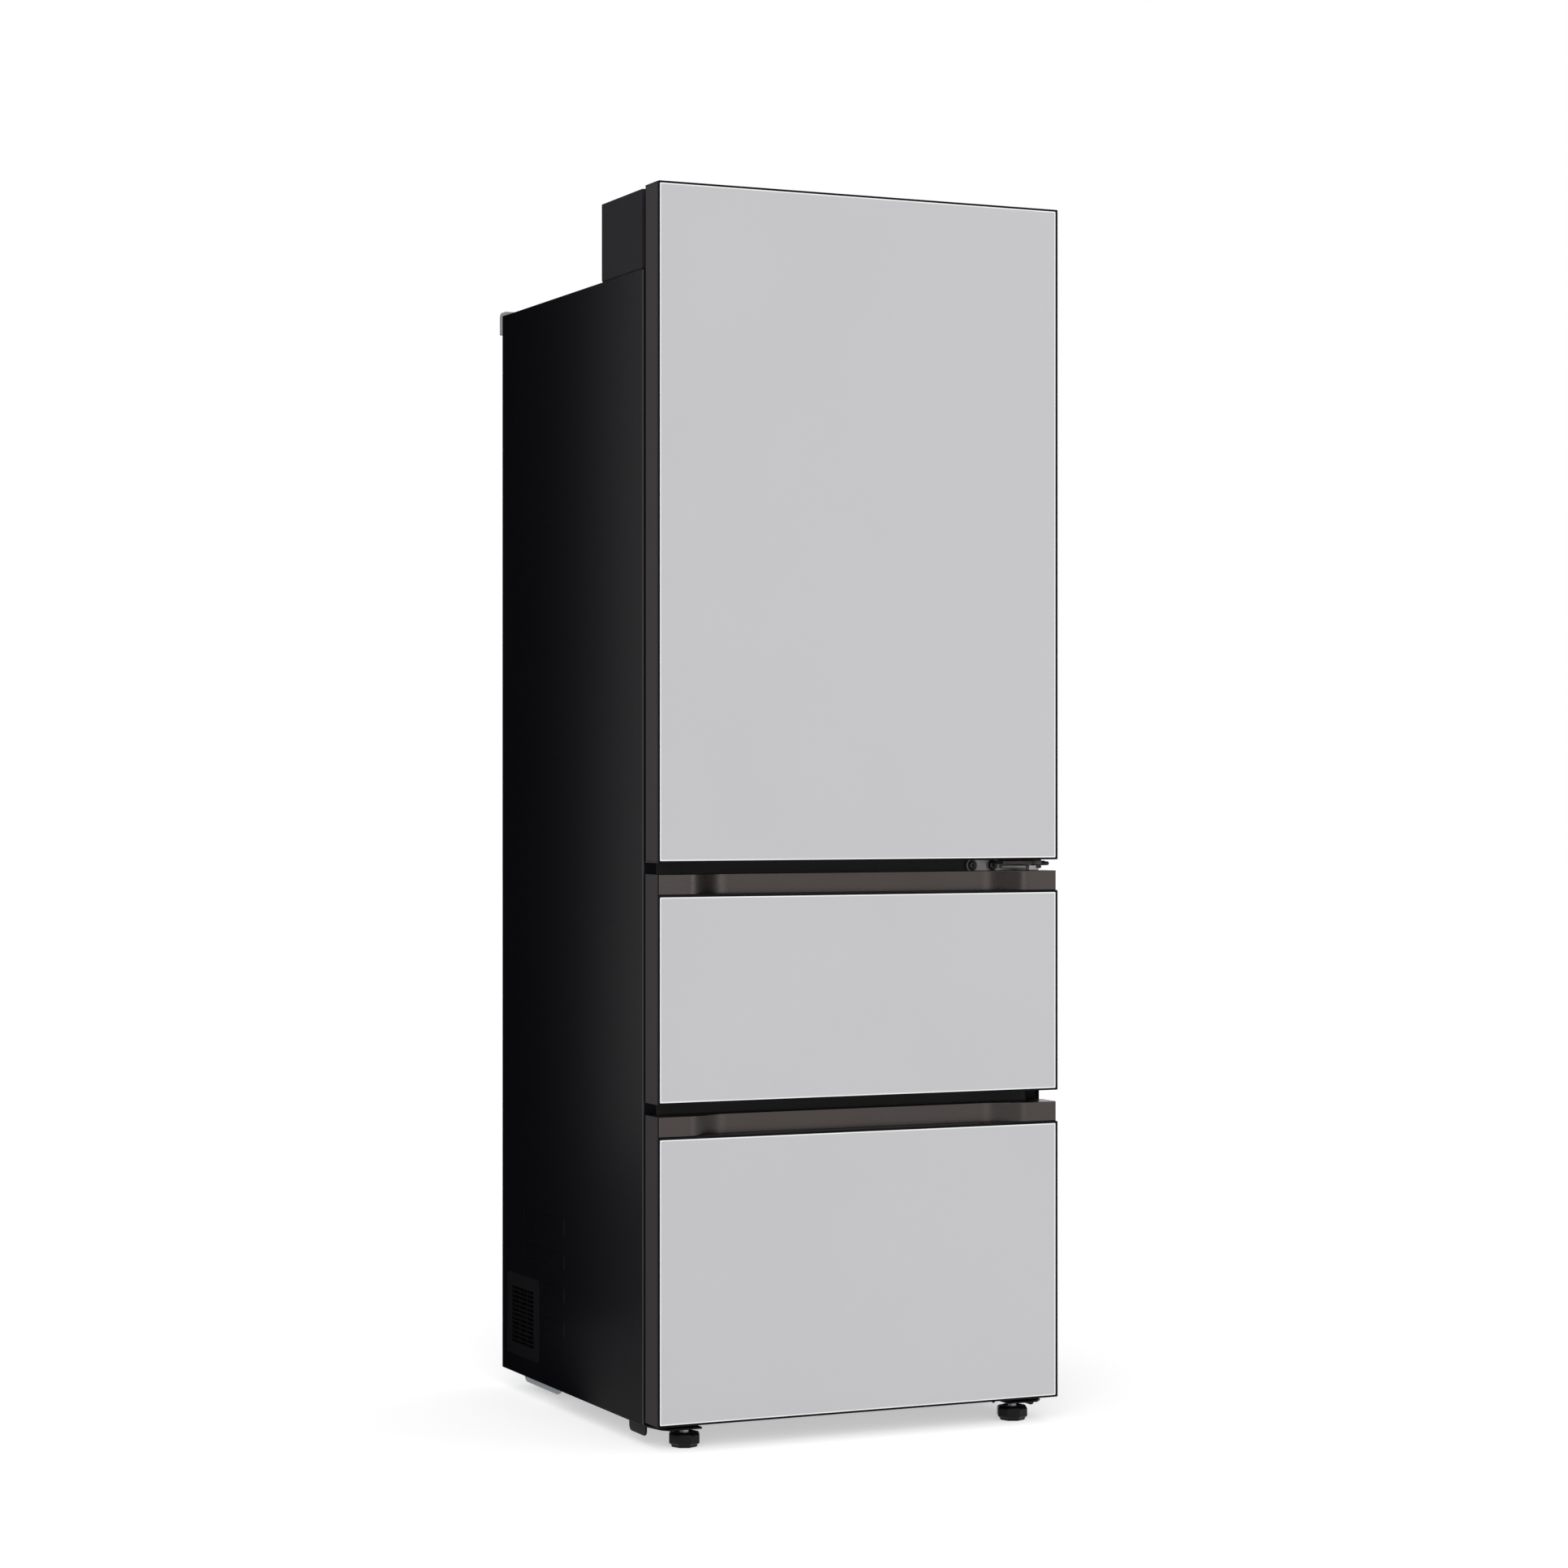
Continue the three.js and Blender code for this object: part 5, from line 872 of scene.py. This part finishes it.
def finishTree(tree, shape, finishName):
    real = wire(tree, "GeometryNodeRealizeInstances", {0: shape})
    painted = wire(tree, "GeometryNodeSetMaterial", {0: real, "Material": finishes[finishName]})
    tree.links.new(painted, tree.nodes.new("NodeGroupOutput").inputs[0])


def product(tree, first, second):
    return wire(tree, "ShaderNodeMath", {0: first, 1: second}, operation="MULTIPLY")


# sides and steps of what the trees grow, and a screw's dome as a share of its radius
treeShape = {"headSides": 24, "domeRings": 12, "domeShare": 0.72, "turnSteps": 24, "ridgeSides": 5}


def makeScrewTree():  # pan heads at even distances along a rectangle
    tree, sizes = newTree("screws along a rectangle", {
        "Width": "NodeSocketFloat", "Height": "NodeSocketFloat", "Count": "NodeSocketInt",
        "Radius": "NodeSocketFloat", "Rise": "NodeSocketFloat"})
    loop = wire(tree, "GeometryNodeCurvePrimitiveQuadrilateral", {
        "Width": sizes["Width"], "Height": sizes["Height"]})
    points = wire(tree, "GeometryNodeCurveToPoints", {"Curve": loop, "Count": sizes["Count"]}, mode="COUNT")
    washer = wire(tree, "GeometryNodeMeshCylinder", {
        "Vertices": treeShape["headSides"], "Radius": sizes["Radius"], "Depth": sizes["Rise"]})
    dome = wire(tree, "GeometryNodeMeshUVSphere", {
        "Segments": treeShape["headSides"], "Rings": treeShape["domeRings"],
        "Radius": product(tree, sizes["Radius"], treeShape["domeShare"])})
    both = tree.nodes.new("GeometryNodeJoinGeometry")
    tree.links.new(washer, both.inputs[0])
    tree.links.new(dome, both.inputs[0])
    heads = wire(tree, "GeometryNodeInstanceOnPoints", {"Points": points, "Instance": both.outputs[0]})
    finishTree(tree, heads, "zinc_steel")
    return tree


def makeThreadTree():  # a ridge wound around a stud
    tree, sizes = newTree("thread", {
        name: "NodeSocketFloat" for name in ("Turns", "Length", "Radius", "Wire")})
    path = wire(tree, "GeometryNodeCurveSpiral", {
        "Resolution": treeShape["turnSteps"], "Rotations": sizes["Turns"], "Start Radius": sizes["Radius"],
        "End Radius": sizes["Radius"], "Height": sizes["Length"]})
    ridge = wire(tree, "GeometryNodeCurvePrimitiveCircle", {
        "Resolution": treeShape["ridgeSides"], "Radius": sizes["Wire"]})
    coil = wire(tree, "GeometryNodeCurveToMesh", {"Curve": path, "Profile Curve": ridge, "Fill Caps": True})
    finishTree(tree, coil, "nutZinc")
    return tree


def makeSlatTree():  # bars side by side
    tree, sizes = newTree("slats", {
        "Count": "NodeSocketInt", "Pitch": "NodeSocketFloat", "Length": "NodeSocketFloat",
        "Thickness": "NodeSocketFloat", "Depth": "NodeSocketFloat"})
    offset = wire(tree, "ShaderNodeCombineXYZ", {"X": 0, "Z": sizes["Pitch"]})
    line = wire(tree, "GeometryNodeMeshLine", {"Count": sizes["Count"], "Offset": offset})
    size = wire(tree, "ShaderNodeCombineXYZ", {
        "X": sizes["Depth"], "Y": sizes["Length"], "Z": sizes["Thickness"]})
    slat = wire(tree, "GeometryNodeMeshCube", {"Size": size})
    slats = wire(tree, "GeometryNodeInstanceOnPoints", {"Points": line, "Instance": slat})
    finishTree(tree, slats, "ventBlack")
    return tree


def grown(tree, values, place):  # the mesh a tree makes with these sizes, moved to its place
    holder = linked(tree.name, bpy.data.meshes.new(tree.name))
    modifier = holder.modifiers.new("grow", "NODES")
    modifier.node_group = tree
    for item in tree.interface.items_tree:
        if item.in_out == "INPUT":
            modifier[item.identifier] = values[item.name]
    mesh = bpy.data.meshes.new_from_object(holder.evaluated_get(bpy.context.evaluated_depsgraph_get()))
    bpy.data.objects.remove(holder)
    mesh.transform(place)
    return mesh


threadTree = makeThreadTree()
screwTree = makeScrewTree()
slatTree = makeSlatTree()
toRear = Matrix.Rotation(math.radians(-90), 4, "X")  # turns what stands up so that it points to the rear

# window of the side grilles with its slats, which are deep like louvres, and its two posts
ventShape = {
    "window": ((183 * mm, 280.8 * mm), (79 * mm, 169.6 * mm)), "behind": 0.8 * mm, "overlap": 1 * mm,
    "slats": {"Count": 12, "Pitch": 7.2 * mm, "Thickness": 1.9 * mm, "Depth": 8 * mm},
    "posts": {"Count": 2, "Pitch": 33.6 * mm, "Thickness": 1.7 * mm, "Depth": 6.4 * mm},
    "edge": 0.5 * mm, "steps": 2,
}


def makeVent(node):
    shape = ventShape
    lo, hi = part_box(node)
    (front, rear), (bottom, top) = shape["window"]
    bm = cutBox(mergedCopy(node), (lo.x - mm, front, bottom), (hi.x + mm, rear, top))
    roundEdges(bm, shape["edge"], shape["steps"])
    slats, posts = shape["slats"], shape["posts"]
    fromFace = shape["behind"] + slats["Depth"] / 2
    x = lo.x + fromFace if lo.x < 0 else hi.x - fromFace

    def firstPlace(bars, start, end):
        return start + bars["Pitch"] - (bars["Pitch"] * (bars["Count"] + 1) - (end - start)) / 2
    lying = Matrix.Translation((x, (front + rear) / 2, firstPlace(slats, bottom, top)))
    length = rear - front + 2 * shape["overlap"]
    bm.from_mesh(grown(slatTree, {**slats, "Length": length}, lying))
    upright = Matrix.Translation((x, firstPlace(posts, front, rear), (bottom + top) / 2)) @ toRear
    length = top - bottom + 2 * shape["overlap"]
    bm.from_mesh(grown(slatTree, {**posts, "Length": length}, upright))
    addFinished(node, bm, ["ventBlack"])


makeVent("side_vent_left")
makeVent("side_vent_right")

# screws of the covers: the plate, their distance from its edge and the number of heads
screwRings = {"back_panel": (9 * mm, 20), "machine_cover": (7 * mm, 10)}
screwSize = {"Radius": 4 * mm, "Rise": 1.6 * mm}
screwProud = 0.3 * mm

bm = bmesh.new()
for plateNode, (fromEdge, count) in screwRings.items():
    lo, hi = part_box(plateNode)
    ring = {"Width": hi.x - lo.x - 2 * fromEdge, "Height": hi.z - lo.z - 2 * fromEdge, "Count": count}
    middle = Matrix.Translation(((lo.x + hi.x) / 2, hi.y + screwProud, (lo.z + hi.z) / 2))
    bm.from_mesh(grown(screwTree, {**ring, **screwSize}, middle @ toRear))
addPiece("finished_cover_screws", bm, ["zinc_steel"], bodyOf["back_panel"], "zinc_steel")
print("slats, screws and threads grown")

# feet: rows of radius and height in mm, the number of sides, and the edges that are rounded above an angle
footShape = {
    "knob": [(0, 0), (18.0, 0), (19.8, 0.7), (20.8, 2.2), (21.2, 4.4), (22.9, 5.2), (24.0, 6.2), (24.4, 7.2),
             (24.4, 18.4), (23.5, 20.0), (21.6, 21.4), (16.4, 22.6), (15.4, 22.2), (14.4, 21.0), (8.6, 21.0),
             (0, 21.0)],
    "nut": [(0, 21), (6.6, 21), (7.2, 21.5), (7.2, 27.3), (6.6, 27.8), (0, 27.8)],
    "stud": [(0, 26), (4.5, 26), (4.5, 34.6), (3.9, 35.4), (0, 35.4)],
    "sides": {"knob": 8, "nut": 6, "stud": 24}, "sharp": 30,
    "knobEdge": (0.45 * mm, 2, 20), "nutEdge": (0.25 * mm, 1, 25),
    "thread": {"Turns": 5.5, "Length": 6.8 * mm, "Radius": 4.5 * mm, "Wire": 0.45 * mm},
    "threadFrom": 28 * mm,
}


def makeFoot(node):
    shape = footShape
    lo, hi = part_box(node)
    middle = ((lo.x + hi.x) / 2, (lo.y + hi.y) / 2, lo.z)

    def turnedParts(names, rounding):
        made = bmesh.new()
        for name in names:
            turned(made, inMetres(shape[name]), middle, (0, 0, 1), shape["sides"][name], phase=0)
        roundEdges(made, *rounding)
        return made
    addFinished(node, turnedParts(["knob"], shape["knobEdge"]), sharpAngle=shape["sharp"])
    bm = turnedParts(["nut", "stud"], shape["nutEdge"])
    place = Matrix.Translation((middle[0], middle[1], lo.z + shape["threadFrom"]))
    bm.from_mesh(grown(threadTree, shape["thread"], place))
    addPiece("finished_stud_" + node, bm, ["nutZinc"], bodyOf[node], "zinc_steel", (), shape["sharp"])


for footNode in ("foot_left", "foot_right"):
    makeFoot(footNode)
print("feet made")

# studio: the photograph's point of view, the light and the floor

camera = {"place": (-2.3782, -5.2490, 0.9812), "turn": -24.586, "lens": 83.33, "sensor": 36, "reach": 100}
cameraData = bpy.data.cameras.new("camera")
cameraData.lens = camera["lens"]
cameraData.sensor_width = camera["sensor"]
cameraData.clip_end = camera["reach"]
cameraObject = linked("camera", cameraData)
cameraObject.location = camera["place"]
cameraObject.rotation_euler = (math.radians(90), 0, math.radians(camera["turn"]))
bpy.context.scene.camera = cameraObject
bpy.context.scene.view_settings.view_transform = "Standard"

studio = {"ambient": 0.55, "floorGlow": 0.5, "floorColour": 0.8, "floorSize": 60, "cardColour": 0.001}


def seenDirectly(tree):  # 1 for camera, glossy and transmission rays
    rays = tree.nodes.new("ShaderNodeLightPath").outputs
    total = rays["Is Camera Ray"]
    for kind in ("Is Glossy Ray", "Is Transmission Ray"):
        total = wire(tree, "ShaderNodeMath", {0: total, 1: rays[kind]}, operation="MAXIMUM")
    return total


def makeWorld():
    world = bpy.data.worlds.new("studio")
    bpy.context.scene.world = world
    world.use_nodes = True
    tree = world.node_tree
    tree.nodes.clear()
    light, white = [wire(tree, "ShaderNodeBackground", {"Color": (1, 1, 1, 1), "Strength": strength})
                    for strength in (studio["ambient"], 1)]
    mix = wire(tree, "ShaderNodeMixShader", {"Fac": seenDirectly(tree), 1: light, 2: white})
    wire(tree, "ShaderNodeOutputWorld", {"Surface": mix}, None)


def plane(name, matrix, material):  # a flat square of 1 m, placed by the matrix
    bm = bmesh.new()
    bmesh.ops.create_grid(bm, x_segments=1, y_segments=1, size=0.5)
    bmesh.ops.transform(bm, matrix=matrix, verts=bm.verts)
    mesh = bpy.data.meshes.new(name)
    bm.to_mesh(mesh)
    bm.free()
    mesh.materials.append(material)
    piece = linked(name, mesh)
    return piece


def makeFloor():
    material = bpy.data.materials.new("floor")
    material.use_nodes = True
    tree = material.node_tree
    tree.nodes.clear()
    matt = wire(tree, "ShaderNodeBsdfDiffuse", {"Color": (studio["floorColour"],) * 3 + (1,)})
    strength = product(tree, seenDirectly(tree), studio["floorGlow"])
    glow = wire(tree, "ShaderNodeEmission", {"Strength": strength})
    both = wire(tree, "ShaderNodeAddShader", {0: matt, 1: glow})
    wire(tree, "ShaderNodeOutputMaterial", {"Surface": both}, None)
    plane("floor", Matrix.Diagonal((studio["floorSize"], studio["floorSize"], 1, 1)), material)


# dark cards that only reflections see: size, place and the point each one faces, or its turn on the floor; a
# card's glow is a painted reflection of light, which lights nothing
cards = {
    "cardBehindLeft": {"size": (0.455, 2.8), "place": (-0.5475, 0.9, 1.2), "aim": (-0.5475, 0, 1.2)},
    "cardFloorLeft": {"size": (5.0, 4.2), "place": (-2.84, 1.5, 0.004), "spin": 0, "glow": 0.4},
    "cardFloorRear": {"size": (0.7, 4.4), "place": (-0.78, 2.05, 0.007), "spin": 21.3},
    "cardRight": {"size": (8.6, 5), "place": (6.5, -1.2, 1.2), "aim": (0, -1.2, 1.2)},
    "cardFront": {"size": (5.6, 5), "place": (-1.7, -7.0, 1.2), "aim": (0, 0, 1.2)},
}


def facing(place, aim):
    return (Vector(aim) - Vector(place)).to_track_quat("-Z", "Y")


def makeCards():
    for name, card in cards.items():
        material = bpy.data.materials.new(name)
        material.use_nodes = True
        look = {"Base Color": (studio["cardColour"],) * 3 + (1,), "Specular IOR Level": 0, "Roughness": 1,
                "Emission Color": (1, 1, 1, 1), "Emission Strength": card.get("glow", 0)}
        for socketName, value in look.items():
            material.node_tree.nodes["Principled BSDF"].inputs[socketName].default_value = value
        if "spin" in card:
            turn = Matrix.Rotation(math.radians(card["spin"]), 4, "Z")
        else:
            turn = facing(card["place"], card["aim"]).to_matrix().to_4x4()
        spread = Matrix.Diagonal((*card["size"], 1, 1))
        piece = plane(name, Matrix.Translation(card["place"]) @ turn @ spread, material)
        for rays in ("camera", "diffuse", "transmission", "shadow"):
            setattr(piece, "visible_" + rays, False)


# kind, power, the sun's angle or a strip's size, place and the point it faces
lamps = {
    "frontSun": {"kind": "SUN", "power": 1.2, "angle": 50, "place": (-2.0, -5.0, 4.0), "aim": (0, 0, 0.9)},
    "rightStrip": {"kind": "AREA", "power": 24, "size": (0.7, 4), "place": (3.95, -4.9, 1.4),
                   "aim": (0, -0.3, 1.0)},
    "middleStrip": {"kind": "AREA", "power": 24, "size": (0.7, 4), "place": (1.1, -6.4, 1.4),
                    "aim": (0, -0.3, 1.0)},
}


def makeLamps():
    for name, lamp in lamps.items():
        data = bpy.data.lights.new(name, lamp["kind"])
        data.energy = lamp["power"]
        if lamp["kind"] == "SUN":
            data.angle = math.radians(lamp["angle"])
        else:
            data.shape = "RECTANGLE"
            data.size, data.size_y = lamp["size"]
        light = linked(name, data)
        light.visible_camera = False
        light.location = lamp["place"]
        light.rotation_euler = facing(lamp["place"], lamp["aim"]).to_euler()


makeWorld()
makeFloor()
makeCards()
makeLamps()
print("studio ready")
